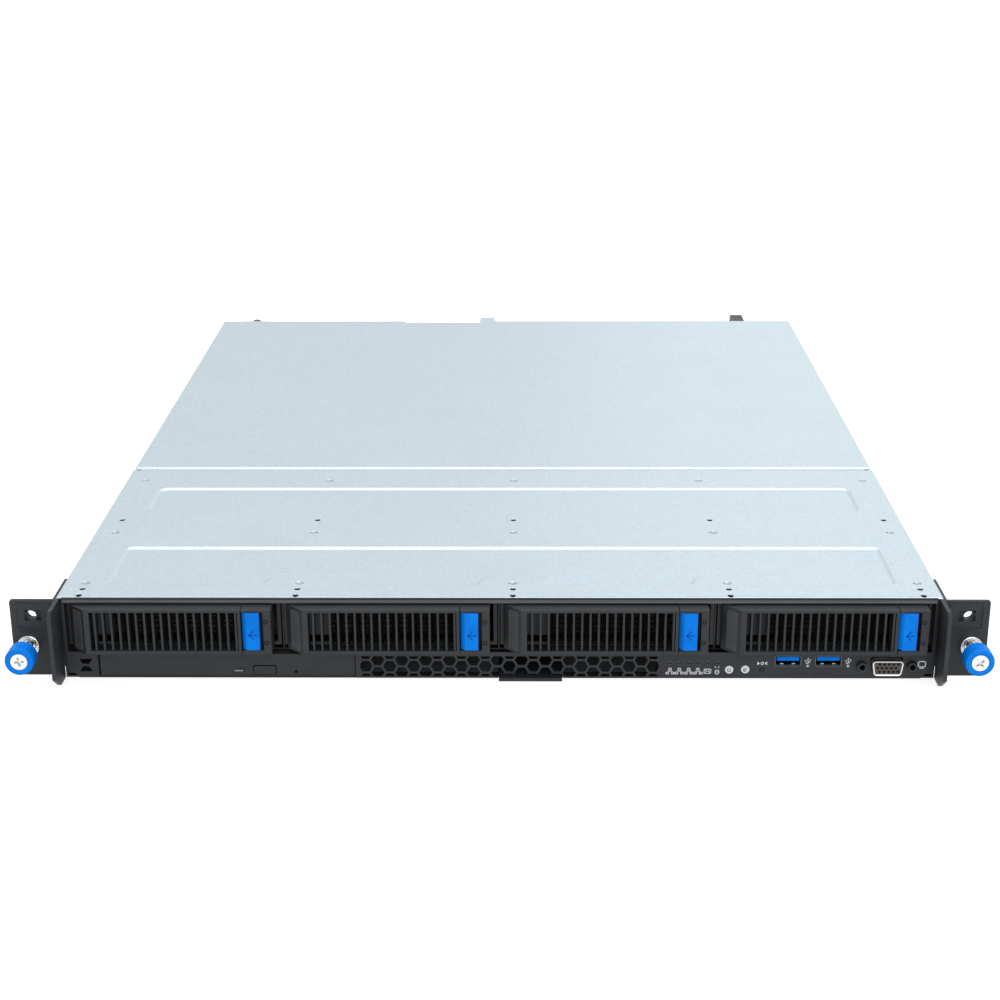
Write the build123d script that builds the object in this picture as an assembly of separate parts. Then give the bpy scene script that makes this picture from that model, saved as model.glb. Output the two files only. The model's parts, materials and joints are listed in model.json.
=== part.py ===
"""1U rack server with four hot-swap drive bays, as an assembly of separate pieces.

Lengths are millimetres. X runs to the right seen from the front, Y runs from the front to the
rear and Z runs up from the underside of the chassis. While a piece is drawn, Y is counted from
the front edge of the top cover; every piece is moved by ORIGIN_SHIFT when it is written, so that
the origin is the middle of the underside of the whole server.
"""
import os
from math import cos, pi, radians, sin, sqrt

from build123d import *

# Overall size and shared clearances; the width follows from the drives and their bays
DEPTH = 542.0          # front edge of the cover to the rear edge of the side walls
HEIGHT = 43.6          # underside to the top of the covers
SHEET = 1.0            # chassis and cover sheet
MOVING_GAP = 0.3       # between faces that slide past each other
PIN_CLEARANCE = 0.08   # radial, round a pin or spindle
PORT_CLEARANCE = 0.2   # round the collars of the display sockets
FACETS = 12            # sides of the small holes, screws and posts that repeat

# Chassis tray
TRAY_GAP = 0.8         # tray wall to the cover's folded side
WALL_RIM = 7.0         # inward rim on the tray wall behind the seam
RIM_START = 2.0        # the rim starts this far behind the seam
RAIL_HOLE_YS = (120.0, 420.0)   # threaded holes for slide rails
RAIL_HOLE_Z = 10.0
RAIL_HOLE_R = 1.65

# Covers
FLANGE_DROP = 11.0     # folded sides of the covers
SEAM_Y = 194.6         # front cover meets rear cover
SEAM_GAP = 0.4
SUNK = 0.6             # depth of the pressed panels in the front cover
SUNK_SIDES = (21.0, 19.0)       # pressed panels to the left and right edge of the cover
SUNK_FRONT_Y = (15.5, 68.2)
SUNK_REAR_Y = (120.1, 160.5)
SUNK_CORNER_R = 3.0
PLATEAU_Y = (14.5, 26.0)        # the front panel steps back round each screw group
PLATEAU_HALF = (17.0, 13.8)     # half width at its front and at its rear
REAR_COVER_INSET = 0.5  # the rear cover is narrower, each side
REAR_COVER_BACK = DEPTH - 0.5
COVER_NOTCH = (-77.0, -22.0)
COVER_NOTCH_DEPTH = 5.2
COVER_TAB = (-21.0, -8.0)
COVER_TAB_REACH = 11.0
COVER_TAB_ROOT = 4.0
COVER_TAB_R = 1.5
LUG_HALF = 10.0        # lug that hangs down behind the rear panel
LUG_DROP = 6.5
LUG_GAP = 0.2
LUG_T = 1.0
LUG_CORNER = 1.0
COVER_SCREW_X = -194.0
COVER_SCREW_Z = 38.0
COVER_SCREW_R = 5.0
COVER_SCREW_HEAD = 8.0
COVER_SCREW_SHANK = 1.75
COVER_SCREW_REACH = 2.5         # past the inner face of the rear panel
COVER_SCREW_FLUTES = 20
COVER_SCREW_FLUTE_R = 0.25

# Sunk screws of the front cover, in columns beside the bay dividers
SCREW_OFFSET = 7.0
LAST_SCREW_SHIFT = 1.5
SCREW_ROWS = (18.2, 88.9, 172.6)
HOLE_ROWS = (10.5, 107.6)
COVER_HOLE_R = 1.7
SCREW_HEAD_R = 2.7
SCREW_HEAD_H = 0.45
SCREW_SHANK_R = 1.4
SCREW_LEN = 2.4
SCREW_SUNK = 0.15
SINK_GAP = 0.05

# Front faces
PLATE_T = 1.2          # painted front plates
RAIL_BOTTOM = 41.0
RAIL_TOP = HEIGHT - 0.1
BAND_BOTTOM = 0.3
BAND_TOP = 14.4        # lower band, level with the bay shelf
CORNER_STEP = 2.6      # the band's outer corners rise by this
CORNER_STEP_W = 3.5
CORNER_TAPER = 2.5
FILLER_GAP = 0.8       # left filler to the optical drive's bezel
HOURGLASS_RUN = (6.4, 12.8)     # twin opening in the left filler, from its outer end
HOURGLASS_Z = 7.1
HOURGLASS_HALF = (3.4, 0.7)     # outer and inner edge of each half, from its middle
HOURGLASS_TAPER = 1.6

# Drive bays
BAYS = 4
DIVIDER_T = 0.8
CAGE_GAP = 1.2         # outermost divider to the tray's wall
DRIVE_SIDE_GAP = 0.3   # drive to the carrier's rail
CARRIER_SIDE_GAP = 0.45  # rail to the divider
DIVIDER_DROP = 0.1     # under the lowest face of the cover
SHELF_T = 0.7
CAGE_FRONT = 4.0
CAGE_REAR = 180.0
TAB_W = 14.0           # screw tabs on the dividers
TAB_HALF = 7.0

# Drive carriers, across each bay from its middle
CARRIER_FACE_T = 1.8
CARRIER_FACE_BACK = -1.3
CARRIER_DROP = 0.4     # rails and bars start this far inside the face's height
CARRIER_BAR_Y = (2.0, 3.6)      # cross bars that join the face to the rails
WINDOW_IN = (11.0, 3.4)         # opening in the face: from the grille's left end and the latch
CORNER_WINDOW_W = 12.0          # lower left opening beside it
CORNER_WINDOW_H = 8.0
CORNER_RIB = 1.0
RAIL_T = 1.8
RAIL_REAR = 168.0
RAIL_TOP_DROP = 1.2
RAIL_GROOVE_T = 1.0    # shallow panel on the inner face of each rail
RAIL_GROOVE_Y = (40.0, 156.0)
RAIL_GROOVE_EDGE = 9.0
FACE_BOTTOM = 16.8
FACE_TOP = 40.6
FACE_FRONT = -9.6
FACE_RUN = 7.3         # hinge to the left edge of the lever's flat face
FACE_EDGE = 3.5        # right edge of the face to the rail's outside
GRILLE_IN = 2.7        # flat face's left edge to the grille
GRILLE_BOTTOM = 18.8
GRILLE_TOP = 39.3

# Levers and their hinges
LEVER_BACK = -3.6
LEVER_GAP = 0.4        # free end of the lever to the latch
LEVER_HEEL = (0.8, 4.2)   # the lever's root reaches this far left and right of the hinge
LEVER_NOSE = 2.0       # the root's front edge stands this far ahead of the hinge
LEVER_ARM = 1.2
LEVER_KNUCKLE = (21.8, 34.8)
STILE_W = 1.5
SLAT_PITCH = 4.08
SLAT_START = 2.6       # grille's left end to the first bar
SLAT_T = 1.0
SLAT_DEPTH = 4.2
SLAT_IN = 0.4          # the bars stand back from the lever's face
HINGE_IN = 3.1         # hinge to the rail's outside
HINGE_Y = 0.2
HINGE_ROOM = 0.4       # lever's root to the carrier's face
HINGE_LAP = 0.5
HINGE_PIN_R = 0.75
KNUCKLE_R = 1.5
KNUCKLE_WEB = 1.2

# Latches
LATCH_RUN = 14.4       # latch's left side to the face's right edge
LATCH_W = 8.8
LATCH_EDGE = (2.6, 0.1)         # face's lower edge and grille's top to the latch
LATCH_FRONT = -10.2
LATCH_BACK = -4.2
LATCH_BEVEL = (2.3, 2.4)        # sideways and back
LATCH_LEAN = 0.3
LATCH_TRAVEL = 1.5
LATCH_FOOT_IN = 2.0
LATCH_FOOT_EDGE = 4.0

# 3.5 inch drive
DRIVE_W = 101.6
DRIVE_H = 26.1
DRIVE_L = 147.0
DRIVE_FRONT = 20.0
DRIVE_LIFT = 0.2
DRIVE_LID_T = 1.2
DRIVE_LID_IN = 2.0
DRIVE_CORNER = 1.6
DRIVE_PLUG_L = 6.0
DRIVE_PLUG_EDGE = (12.0, 40.0)  # from the drive's left and right sides
DRIVE_PLUG_Z = (1.0, 7.0)
DRIVE_HOLE_R = 1.5
DRIVE_HOLE_Z = 6.35
DRIVE_HOLE_YS = (16.0, 117.0)
DRIVE_HOLE_DEPTH = 4.0

# Backplane and its receptacles
BOARD_T = 1.6
CONNECTOR_GAP = 0.5
HOUSING_GROW = 2.0     # the receptacle is wider than the drive's plug, each side
HOUSING_Z = (-0.1, 9.0)
KEYWAY_Z = (2.6, 5.0)
KEYWAY_IN = 3.0
KEYWAY_DEPTH = 6.0
AIR_SLOT = (16.0, 8.0)
AIR_SLOTS = 4
AIR_SLOT_PITCH = 24.0
AIR_SLOT_Z = 31.5
SLOT_ROUND = 0.3       # share of the slot's width that rounds each corner

# Slim optical drive, right of the filler
OPTICAL_START = 16.8   # outer end of the band to the drive's bezel
OPTICAL_W = 127.4
OPTICAL_H = 12.7
OPTICAL_L = 126.0
OPTICAL_SKIN = 0.6
OPTICAL_GAP = 0.4
TRAY_SHORT = 2.0       # the tray ends this far before the box's rear wall
TRAY_T = 4.0
BEZEL_T = 2.4
WELL_DEPTH = 2.6       # the disc's well in the tray
WELL_EDGE = 1.5
SPINDLE_R = 7.5
SPINDLE_PROUD = 1.5
EJECT_W = 11.0
EJECT_H = 4.6
EJECT_CORNER = 0.5
EJECT_AT = (82.3, 4.6)          # from the bezel's left end
EJECT_POCKET = (2.0, 3.5, 2.0)  # room behind the eject button: sideways, back, under the top
EJECT_BACK = 1.0
BUTTON_PROUD = 0.4
EMERGENCY_AT = (97.9, 3.6)      # from the bezel's left end
EMERGENCY_R = 0.75

# Honeycomb vent and input/output plate; places on the plate are from its left end
VENT_GAP = 0.4
IO_W = 135.5
VENT_MARGIN = (2.4, 1.0)
VENT_Z = (1.2, 12.2)
HEX_ACROSS = 5.7
HEX_WEB = 1.2
POWER_AT = (34.15, 4.95)
IDENTIFY_AT = (42.2, 5.1)
RESET_AT = (50.5, 4.85)
PUSH_R = 2.1
RESET_R = 1.0
PUSH_TRAVEL = 0.8
PUSH_BACK = 3.2
PUSH_LIP = 0.9
PUSH_EASE = 0.25
LIGHT_RUN = (4.7, 9.3, 14.0, 18.6, 23.4, 28.1)
LIGHT_Z = 8.65
LIGHT_R = 0.8
USB_RUN = (63.3, 83.4)
USB_Z = 9.75
USB_W = 12.5
USB_H = 5.1
USB_WALL = 0.4
USB_CORNER = 0.4
USB_DEPTH = 14.0
USB_SEAT_SHORT = 1.0
USB_TONGUE_T = 1.9
USB_TONGUE_IN = 0.7
VGA_RUN = 112.3
VGA_Z = 7.6
VGA_W = 16.3
VGA_H = 8.3
VGA_SLOPE = 0.17
VGA_EASE = 0.9
VGA_PROUD = 4.2
VGA_WALL = 0.5
VGA_RECESS = 0.6
VGA_FLANGE = 6.0
VGA_FLANGE_T = 2.0
JACK_SPACING = 24.99
JACK_R = 2.4
JACK_HOLE_R = 1.42
JACK_PROUD = 3.0
JACK_DEPTH = 5.0

# Circuit board behind that plate
FRONT_BOARD_Z = 3.4
FRONT_BOARD_EDGE = (3.0, 1.5)   # inside the plate's left and right ends
FRONT_BOARD_BACK = 40.0
SWITCH_WALL_RUN = 55.3
SWITCH_WALL_RISE = 2.0
USB_SEAT_HALF = 6.0
VGA_SEAT_HALF = 14.0
VGA_SEAT_T = 1.2
STANDOFF_R = 3.0
FRONT_STANDOFF_Y = 34.0
FRONT_STANDOFF_EDGE = 5.0

# Pull-out tag
TAG_X = (0.0, 31.5)
TAG_T = 0.8
TAG_LOW = SHEET + 0.2
TAG_FRONT = -5.2
TAG_REAR = 60.0
TAG_LIP = (1.4, 1.9)   # thickness and height of the finger lip
TAG_LIP_LOW = 0.2
TAG_EASE = 0.3

# Rack ears; places on them are from the chassis's side
EAR_W = 22.3           # both ears bring the width to 19 inches
EAR_FRONT = -3.6
EAR_T = 2.0
EAR_Z = (3.0, 43.4)
EAR_CORNER_R = 1.2
EAR_SLOT = (8.2, 5.7)
EAR_SLOT_OUT = 11.2
EAR_SLOT_Z = 35.3
RIB_LEFT = 9.0         # raised rim round the slot, from the slot's middle
RIB_RIGHT = 8.4
RIB_DOWN = 7.4
RIB_UP = 6.6
RIB_W = 0.8
RIB_PROUD = 0.4
GUARD_T = 2.0          # plate that stands forward beside the drive bays
GUARD_REACH = 19.5
GUARD_Z = (0.9, 43.3)
GUARD_CORNER = (8.5, 6.5)
GUARD_TOP_CORNER = 2.2
FLANGE_LEN = 26.0      # flange on the chassis wall
FLANGE_T = 1.6
FLANGE_TOP = 42.6

# Captive thumbscrews
THUMB_OUT = 14.2
THUMB_Z = 19.5
KNOB_R = 7.1
KNOB_FACE = -24.4
KNOB_LEN = 9.4
KNOB_FLUTES = 24
KNOB_FLUTE_R = 0.22
THUMB_FACE_IN = 0.2    # the screw's head sits this far inside the knob
THUMB_HEAD_R = 4.25
THUMB_HEAD_H = 2.8
THUMB_RECESS = (2.1, 0.45, 1.8)   # cross recess: half length, half width, depth
THUMB_NECK_R = 2.2
THUMB_COLLAR_R = 3.4
THUMB_THREAD_R = 2.5
THUMB_TIP = 4.5
THUMB_TRAVEL = 6.0
FERRULE_R = 5.5
FERRULE_PROUD = 2.2
FERRULE_EASE = 0.6
FERRULE_BORE_R = 2.8
EAR_BORE_R = 4.2
EAR_BORE_GAP = 0.02

# Rear panel
REAR_T = 1.0
REAR_PANEL_BACK = DEPTH - 0.7
REAR_PANEL_DROP = 0.1
PORT_START = 66.2      # outer end of the panel to the port plate
PORT_W = 162.0
PORT_PLATE_Z = (3.0, 41.0)
PORT_VENT_Z = (22.5, 38.5)
PORT_VENT_EDGE = 6.0
SCREW_NOTCH_GAP = 0.4
SLOT_GAPS = (4.0, 8.5)          # slot to the port plate and to the power supply
SLOT_Z = (21.0, 39.5)
BRACKET_EDGE = (2.0, 1.5, 1.0)  # lap of the slot bracket: sides, bottom, top
BRACKET_T = 0.8
BRACKET_SLOT = (8.5, 3.0)
BRACKET_PITCH = 12.0
BRACKET_FIRST = 9.0
BRACKET_ROWS = (26.0, 34.0)

# Rear sockets; their places are from the port plate's left end
PORT_Z = 13.5
PORT_PROUD = 0.6
PORT_FOOT_BACK = 6.0   # the sockets' feet end this far inside the rear face
LAN_RUN = (12.0, 31.0)
LAN_SIZE = (16.0, 13.4)
LAN_MOUTH = (11.9, 8.2)
LAN_DEPTH = 18.0
LAN_WALL = 3.0
LAN_FOOT_HALF = 4.0
REAR_USB_RUN = (54.0, 72.0)
USB_FOOT_HALF = 5.0
REAR_VGA_RUN = 106.0
VGA_FOOT_HALF = 12.0

# Power supply; places on it are from its left side
PSU_SIDE = 3.7         # to the tray's wall
PSU_W = 86.0
PSU_H = 39.6
PSU_L = 185.0
PSU_GAP = 0.4
HANDLE_REACH = 36.0
HANDLE_RUN = 54.5
HANDLE_W = 8.7
HANDLE_T = 3.0
HANDLE_EDGE = (3.0, 0.5)        # under and over the handle, inside the supply's height
HANDLE_ROUND = (6.0, 4.0)
HANDLE_ROOT = 12.0
PSU_LATCH_RUN = (1.5, 5.9)
PSU_LATCH_Z = (14.0, 28.0)
PSU_LATCH_REACH = 13.0
PSU_LATCH_ROOT = 4.0
PSU_LATCH_TRAVEL = 1.8
PSU_LATCH_WEDGE = 2.2
INLET_RUN = 22.0
INLET_SIZE = (27.0, 19.4)
INLET_DEPTH = 15.0
BLADE_POSTS = ((-7.0, -2.0), (7.0, -2.0), (0.0, 2.0))
BLADE_POST = (1.0, 2.0)         # half width and half height
BLADE_POST_IN = 5.0
LOUVRES = 9
LOUVRE_PITCH = 4.0
LOUVRE_HALF = 1.0
LOUVRE_DEPTH = 3.0
LOUVRE_RUNS = ((37.5, 49.5), (59.5, 82.5))

# Fans
FANS = 4
FAN_PITCH = 60.0
FAN_START = 48.2       # tray's wall to the first fan's middle
FAN_SIZE = 40.0
FAN_DEPTH = 28.0
FAN_SPACE = 24.0       # drive cage to the fans
FAN_BORE_R = 19.0
FAN_CORNER = 1.2
SPOKE_HALF = 0.9
SPOKE_T = 2.2
MOTOR_T = 3.4
SPINDLE_PIN_R = 1.5
SPINDLE_PIN_START = 6.0
ROTOR_R = 18.3
ROTOR_IN = 2.0
HUB_R = 8.5
MOTOR_R = 9.5          # fixed motor plate behind the hub
BLADES = 7
BLADE_TURN = 38.0
BLADE_T = 1.3
BLADE_ROOT = 1.4       # the blades reach this far into the hub
BLADE_SPAN = 1.6       # blade length before it is cut, as a multiple of the hub's depth
BLADE_CLEAR = (1.0, 0.5)        # blades stop short of the hub's front and rear faces

# Main board and what stands on it
MAIN_BOARD_SIDES = (10.2, 16.5)  # to the tray's wall and to the power supply
MAIN_BOARD_ENDS = (30.0, 6.0)    # behind the fans and before the rear edge
MAIN_BOARD_Z = 5.0
BOARD_TOP = MAIN_BOARD_Z + BOARD_T
STANDOFF_IN = (8.0, 118.0, 8.0)  # outer columns from each side, middle column from the left
STANDOFF_ENDS = (8.0, 24.0)
REAR_CHIPS = ((56.0, 116.0, 26.0, 26.0, 2.4), (226.0, 36.0, 30.0, 20.0, 6.0))
SIDE_CHIP = (36.0, 14.0, 40.0, 8.0)
SINK_AT = (176.0, 88.0)         # from the board's left and front edges
SINK_SIZE = 78.0
SOCKET_H = 4.0
SINK_BASE = 3.2
SINK_TOP = 39.5
FINS = 22
FIN_T = 0.8
MEMORY = 4
MEMORY_START = 240.0
MEMORY_PITCH = 9.4
MEMORY_L = 133.3
MEMORY_H = 31.2
MEMORY_HALF_T = 0.65
MEMORY_SEAT = 2.6
SOCKET_HALF = 3.2
SOCKET_RISE = 6.0
SOCKET_END = 5.0
SOCKET_GROOVE = (0.75, 4.6, 2.5)  # half width, in from each end, up from the board
LATCH_POST = (2.4, 4.0, 18.0)     # half width, length and height of the socket's end latches
MEMORY_CHIPS = 6
MEMORY_CHIP_FIRST = 8.0
MEMORY_CHIP_PITCH = 20.5
MEMORY_CHIP_L = 14.0
MEMORY_CHIP_Z = (9.0, 20.0)
MEMORY_CHIP_FACE = 1.6

# Values that follow from the sizes above
ORIGIN_SHIFT = -(DEPTH + HANDLE_REACH + KNOB_FACE) / 2
CARRIER_HALF = DRIVE_W / 2 + DRIVE_SIDE_GAP + RAIL_T
BAY_PITCH = 2 * (CARRIER_HALF + CARRIER_SIDE_GAP) + DIVIDER_T
CAGE_HALF = BAYS * BAY_PITCH / 2
TRAY_IN = CAGE_HALF + CAGE_GAP
TRAY_HALF = TRAY_IN + SHEET
HALF_COVER = TRAY_HALF + TRAY_GAP + SHEET
WALL_TOP = HEIGHT - SHEET
DIVIDER_TOP = WALL_TOP - SUNK - DIVIDER_DROP
SUNK_X = (SUNK_SIDES[0] - HALF_COVER, HALF_COVER - SUNK_SIDES[1])
BAY_XS = [BAY_PITCH * (i - (BAYS - 1) / 2) for i in range(BAYS)]
DIVIDER_XS = [BAY_PITCH * (i - BAYS / 2) for i in range(BAYS + 1)]
SCREW_XS = [x + SCREW_OFFSET for x in DIVIDER_XS[:-1]] + [
    CAGE_HALF - SCREW_OFFSET + LAST_SCREW_SHIFT]
HINGE_X = HINGE_IN - CARRIER_HALF
FACE_LEFT = HINGE_X + FACE_RUN
FACE_RIGHT = CARRIER_HALF - FACE_EDGE
LATCH_LEFT = FACE_RIGHT - LATCH_RUN
LEVER_REACH = LATCH_LEFT - LEVER_GAP
GRILLE_LEFT = FACE_LEFT + GRILLE_IN
GRILLE_RIGHT = LEVER_REACH - STILE_W
SLAT_FIRST = GRILLE_LEFT + SLAT_START
SLATS = int((GRILLE_RIGHT - SLAT_FIRST) / SLAT_PITCH) + 1
CARRIER_LEFT = HINGE_X + LEVER_HEEL[1] + HINGE_ROOM
CARRIER_WINDOW = (GRILLE_LEFT + WINDOW_IN[0], LATCH_LEFT - WINDOW_IN[1])
CORNER_WINDOW = (GRILLE_LEFT, GRILLE_LEFT + CORNER_WINDOW_W)
CARRIER_FACE_FRONT = CARRIER_FACE_BACK - CARRIER_FACE_T
CARRIER_BOTTOM = FACE_BOTTOM + CARRIER_DROP
CARRIER_TOP = FACE_TOP - CARRIER_DROP
LATCH_RIGHT = LATCH_LEFT + LATCH_W
LATCH_Z = (FACE_BOTTOM + LATCH_EDGE[0], GRILLE_TOP - LATCH_EDGE[1])
DRIVE_Z = BAND_TOP + DRIVE_LIFT
HOUSING_FRONT = DRIVE_FRONT + DRIVE_L + CONNECTOR_GAP
BEZEL_BACK = BEZEL_T - PLATE_T
HOURGLASS_X = [run - TRAY_IN for run in HOURGLASS_RUN]
OPTICAL_LEFT = OPTICAL_START - TRAY_IN
VENT_LEFT = OPTICAL_LEFT + OPTICAL_W + VENT_GAP
IO_LEFT = TRAY_IN - IO_W
LIGHT_XS = [IO_LEFT + run for run in LIGHT_RUN]
USB_XS = [IO_LEFT + run for run in USB_RUN]
VGA_X = IO_LEFT + VGA_RUN
GUARD_X = HALF_COVER - GUARD_T
EAR_SLOT_X = HALF_COVER + EAR_SLOT_OUT
THUMB_X = HALF_COVER + THUMB_OUT
PSU_X = (TRAY_IN - PSU_SIDE - PSU_W, TRAY_IN - PSU_SIDE)
PSU_LATCH_X = [PSU_X[0] + run for run in PSU_LATCH_RUN]
HANDLE_X = PSU_X[0] + HANDLE_RUN
INLET_X = PSU_X[0] + INLET_RUN
PORT_PLATE = (PORT_START - TRAY_IN, PORT_START - TRAY_IN + PORT_W)
LAN_XS = [PORT_PLATE[0] + run for run in LAN_RUN]
REAR_USB_XS = [PORT_PLATE[0] + run for run in REAR_USB_RUN]
REAR_VGA_X = PORT_PLATE[0] + REAR_VGA_RUN
SLOT_X = (PORT_PLATE[1] + SLOT_GAPS[0], PSU_X[0] - SLOT_GAPS[1])
BRACKET_SLOTS = int((SLOT_X[1] - SLOT_X[0] - BRACKET_FIRST) / BRACKET_PITCH) + 1
FAN_Y = CAGE_REAR + FAN_SPACE
FAN_FIRST_X = FAN_START - TRAY_IN
FAN_Z = SHEET + FAN_SIZE / 2
MAIN_BOARD_X = (MAIN_BOARD_SIDES[0] - TRAY_IN, PSU_X[0] - MAIN_BOARD_SIDES[1])
MAIN_BOARD_Y = (FAN_Y + FAN_DEPTH + MAIN_BOARD_ENDS[0], DEPTH - MAIN_BOARD_ENDS[1])
SINK_MIDDLE = (MAIN_BOARD_X[0] + SINK_AT[0], MAIN_BOARD_Y[0] + SINK_AT[1])
LUG_FRONT = REAR_PANEL_BACK + LUG_GAP
LUG_BACK = LUG_FRONT + LUG_T


def rect(u0, u1, v0, v1):
    """Flat rectangle between two corners."""
    return Pos((u0 + u1) / 2, (v0 + v1) / 2) * Rectangle(u1 - u0, v1 - v0)


def rounded(u0, u1, v0, v1, radius):
    """Flat rectangle with round corners."""
    return Pos((u0 + u1) / 2, (v0 + v1) / 2) * RectangleRounded(u1 - u0, v1 - v0, radius)


def around(at, half_w, half_h):
    """Flat rectangle round a middle point."""
    return Pos(*at) * Rectangle(2 * half_w, 2 * half_h)


def disc(radius):
    """Many-sided face that stands for a small circle, as wide as the circle across its flats."""
    return RegularPolygon(radius / cos(pi / FACETS), FACETS)


def eased(u0, u1, v0, v1, cut):
    """Flat rectangle with its corners cut off."""
    face = rect(u0, u1, v0, v1)
    return chamfer(face.vertices(), cut)


def outline(*points):
    """Flat face inside a closed outline of corner points."""
    return make_face(Polyline(*points, close=True))


def across(sketch, y0, y1):
    """Sketch drawn with X and Z, filled from depth y0 back to y1."""
    return extrude(Plane.XZ.offset(-y1) * sketch, y1 - y0)


def upward(sketch, z0, z1):
    """Sketch drawn with X and Y, filled from height z0 to z1."""
    return extrude(Plane.XY.offset(z0) * sketch, z1 - z0)


def sideways(sketch, x0, x1):
    """Sketch drawn with Y and Z, filled from x0 to x1."""
    return extrude(Plane.YZ.offset(x0) * sketch, x1 - x0)


def block(x0, x1, y0, y1, z0, z1):
    """Upright box between two corners."""
    return upward(rect(x0, x1, y0, y1), z0, z1)


def rod_y(x, z, radius, y0, y1):
    """Round bar along the depth."""
    return across(Pos(x, z) * Circle(radius), y0, y1)


def rod_z(x, y, radius, z0, z1):
    """Round upright bar."""
    return upward(Pos(x, y) * Circle(radius), z0, z1)


def mirrored(piece):
    """The same piece on the other side of the server."""
    return mirror(piece, Plane.YZ)


def air_slot(x, z, length, width):
    """Long opening with eased ends."""
    return eased(x - length / 2, x + length / 2, z - width / 2, z + width / 2, width * SLOT_ROUND)


def honeycomb(x0, x1, z0, z1):
    """Flat-topped six-sided cells on a staggered grid, cut off at the edge of a window."""
    pitch = HEX_ACROSS + HEX_WEB
    step = pitch * sqrt(3) / 2
    radius = HEX_ACROSS / sqrt(3)
    middle = (z0 + z1) / 2
    centre = (x0 + x1) / 2
    columns = int((x1 - x0) / step / 2) + 1
    rows = int((z1 - z0) / pitch / 2) + 1
    cells = Sketch()
    for i in range(-columns, columns + 1):
        lift = pitch / 2 if i % 2 else 0.0
        for j in range(-rows, rows + 1):
            cells += Pos(centre + i * step, middle + j * pitch + lift) * RegularPolygon(radius, 6)
    return cells & rect(x0, x1, z0, z1)


def fluted_disc(radius, flutes, depth):
    """Round face with shallow grip notches round its edge."""
    points = []
    for i in range(2 * flutes):
        turn = radians(180 * i / flutes)
        reach = radius - depth * (i % 2)
        points.append((reach * cos(turn), reach * sin(turn)))
    return outline(*points)


# Chassis and covers

def chassis_tray():
    """Folded tray: bottom, two walls, and a rim on the walls behind the drive bays."""
    back = REAR_PANEL_BACK - REAR_T
    section = rect(-TRAY_HALF, TRAY_HALF, 0, WALL_TOP) - rect(-TRAY_IN, TRAY_IN, SHEET, WALL_TOP)
    tray = across(section, 0, back)
    for side in (-1, 1):
        edges = sorted((side * TRAY_IN, side * (TRAY_IN - WALL_RIM)))
        tray += block(*edges, SEAM_Y + RIM_START, back, WALL_TOP - SHEET, WALL_TOP)
    for y in RAIL_HOLE_YS:
        tray -= sideways(Pos(y, RAIL_HOLE_Z) * Circle(RAIL_HOLE_R), -TRAY_HALF, TRAY_HALF)
    return tray


def screw_plateau(x):
    """The part of the cover that the front pressed panel leaves round one screw group."""
    foot, top = PLATEAU_HALF
    y0, y1 = PLATEAU_Y
    return outline((x - foot, y0), (x + foot, y0), (x + top, y1), (x - top, y1))


def pressed_panels():
    """Both pressed panels, the front one stepping back round the inner screw groups."""
    front = rounded(*SUNK_X, *SUNK_FRONT_Y, SUNK_CORNER_R)
    for x in SCREW_XS[1:-1]:
        front -= screw_plateau(x)
    return [front, rounded(*SUNK_X, *SUNK_REAR_Y, SUNK_CORNER_R)]


def front_top_cover():
    """Pressed sheet with two sunk panels, screw and locating holes, and folded sides."""
    back = SEAM_Y - SEAM_GAP
    cover = block(-HALF_COVER, HALF_COVER, 0, back, WALL_TOP, HEIGHT)
    for panel in pressed_panels():
        cover += upward(panel, WALL_TOP - SUNK, WALL_TOP)
        cover -= upward(offset(panel, -SHEET, kind=Kind.INTERSECTION), HEIGHT - SUNK, HEIGHT)
    for side in (-1, 1):
        edges = sorted((side * HALF_COVER, side * (HALF_COVER - SHEET)))
        cover += block(*edges, 0, back, HEIGHT - FLANGE_DROP, HEIGHT)
    for x in SCREW_XS:
        for y in SCREW_ROWS:
            cover -= sunk_screw(x, y, SINK_GAP)
        for y in HOLE_ROWS:
            cover -= upward(Pos(x, y) * disc(COVER_HOLE_R), WALL_TOP, HEIGHT)
    return cover


def sunk_screw(x, y, grow=0.0):
    """Flat-headed screw sunk into the sheet, or the hole that it sits in when grown."""
    top = HEIGHT if grow else HEIGHT - SCREW_SUNK
    under = HEIGHT - SCREW_SUNK - SCREW_HEAD_H - grow
    screw = upward(disc(SCREW_SHANK_R + grow), HEIGHT - SCREW_LEN - grow, under)
    return Pos(x, y, 0) * (screw + upward(disc(SCREW_HEAD_R + grow), under, top))


def cover_screws():
    """Sunk screws that hold the front cover to the bay dividers."""
    return [sunk_screw(x, y) for x in SCREW_XS for y in SCREW_ROWS]


def rear_top_cover():
    """Plain sheet with folded sides, a notch and a tab at its rear edge, and a screw lug."""
    half = HALF_COVER - REAR_COVER_INSET
    back = REAR_COVER_BACK
    sheet = rect(-half, half, SEAM_Y, back)
    sheet -= rect(*COVER_NOTCH, back - COVER_NOTCH_DEPTH, back)
    sheet += rounded(*COVER_TAB, back - COVER_TAB_ROOT, back + COVER_TAB_REACH, COVER_TAB_R)
    cover = upward(sheet, WALL_TOP, HEIGHT)
    for side in (-1, 1):
        edges = sorted((side * half, side * (half - SHEET)))
        cover += block(*edges, SEAM_Y, back, HEIGHT - FLANGE_DROP, HEIGHT)
    left, right = COVER_SCREW_X - LUG_HALF, COVER_SCREW_X + LUG_HALF
    lug = eased(left, right, COVER_SCREW_Z - LUG_DROP, HEIGHT, LUG_CORNER)
    lug -= Pos(COVER_SCREW_X, COVER_SCREW_Z) * Circle(COVER_SCREW_SHANK + PIN_CLEARANCE)
    cover += across(lug, LUG_FRONT, LUG_BACK)
    return cover + block(left, right, back - SHEET, LUG_BACK, WALL_TOP, HEIGHT)


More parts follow.
